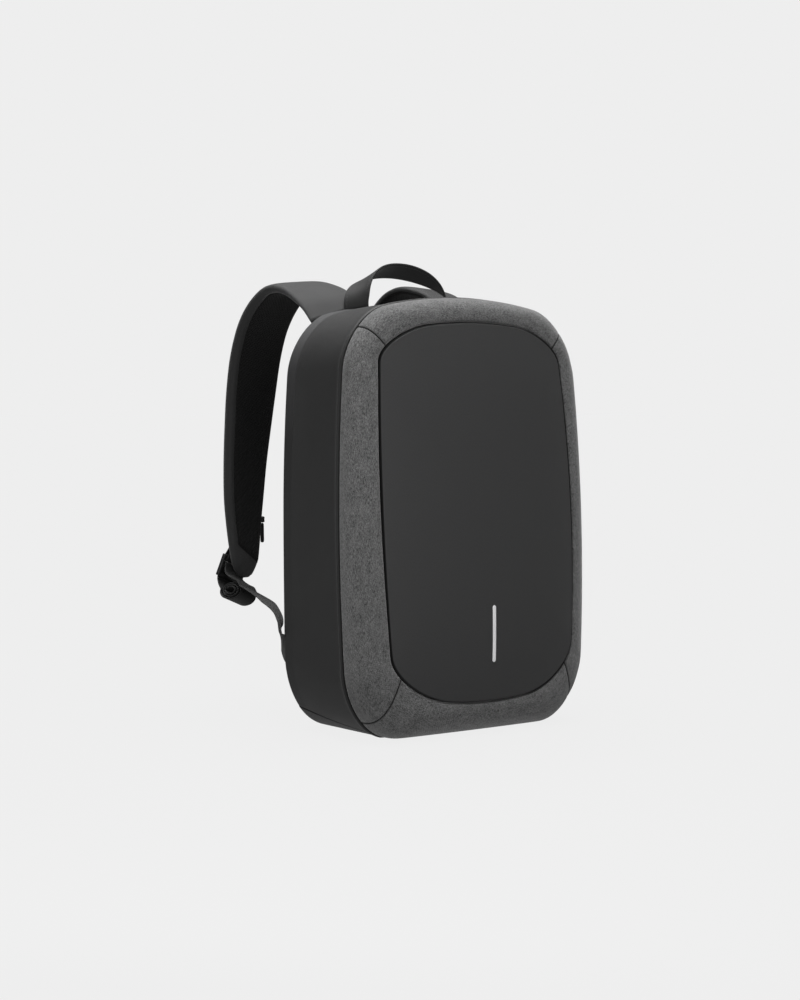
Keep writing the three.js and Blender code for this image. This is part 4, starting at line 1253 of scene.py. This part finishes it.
leftSeam = (baseSeam["front"], baseSeam["back"])
rightSeam = (11 - leftSeam[0], 11 - leftSeam[1])
gusset = bandPiece("gussetCloth", (rightSeam[0] - 8, rightSeam[1] - 8), leftSeam, band["rim"])
dressed(gusset, gussetMaterial, "gusset_cloth", "gusset")
baseBand = bandPiece("baseCloth", leftSeam, rightSeam, band["baseRim"])
dressed(baseBand, gussetMaterial, "gusset_cloth", "base_panel")
dressed(backPanel(), backMaterial, "back_cloth", "back_panel")
dressed(carryHandle(), handleMaterial, "handle_cloth", "carry_handle")
print("body made")

for side, name in sideNames.items():
    word = name.lower()
    dressed(strapPad(side), strapMaterial, "strap_cloth", f"strap_pad_{word}")
    dressed(strapLining(side), meshMaterial, "spacer_mesh", f"strap_lining_{word}")
    dressed(adjusterWebbing(side), bandMaterial, "webbing", f"adjuster_webbing_{word}")
    dressed(lockLoop(side), bandMaterial, "webbing", f"lock_loop_{word}")
    ladder = mouldedCopy(f"ladderLock{name}", f"ladder_lock_{word}", lock["bevel"])
    dressed(ladder, lockMaterial, "lock_plastic", f"ladder_lock_{word}")
    for part in zipShapes:
        dressed(zipPart(side, part), lockMaterial, "lock_plastic", f"zip_{part.lower()}_{word}")
print("straps made")

# Floor and backdrop, radii and drop in metres

room = {"floor": 26.0, "drop": 0.0004, "backdrop": 27.0}


def paleStand(name, mesh, tone, glow):
    # A surface that glows: it is seen, but neither lights nor shades the bag.
    material, tree, shader = startMaterial(name, 1.0, 0.0, 0.4, 0.0)
    shader.inputs["Base Color"].default_value = (*grey(tone), 1)
    shader.inputs["Emission Color"].default_value = (1, 1, 1, 1)
    shader.inputs["Emission Strength"].default_value = glow
    mesh.materials.append(material)
    made = linked(name, mesh)
    made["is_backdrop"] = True
    made.visible_diffuse = False
    made.visible_glossy = False
    made.visible_shadow = False


def discMesh():
    # A wide disc just below the bag. Its glow keeps the floor as light as in the photograph.
    angle = np.linspace(0, 2 * np.pi, 65)[:-1]
    x, y = room["floor"] * np.cos(angle), room["floor"] * np.sin(angle)
    mesh = bpy.data.meshes.new("paleFloor")
    mesh.from_pydata(joined(x, y, -room["drop"]).tolist(), [], [list(range(64))])
    return mesh


def ballMesh():
    # A wide ball round everything.
    mesh = bpy.data.meshes.new("paleBackdrop")
    work = bmesh.new()
    bmesh.ops.create_icosphere(work, subdivisions=4, radius=room["backdrop"])
    work.to_mesh(mesh)
    work.free()
    return mesh


paleStand("paleFloor", discMesh(), light["floorAlbedo"], light["floorGlow"])
paleStand("paleBackdrop", ballMesh(), 0, light["backdrop"])
triangles = {made.name: sum(len(face.vertices) - 2 for face in made.data.polygons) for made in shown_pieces()}
largest = max(triangles, key=triangles.get)
print("triangles:", sum(triangles.values()), "largest:", largest, triangles[largest])
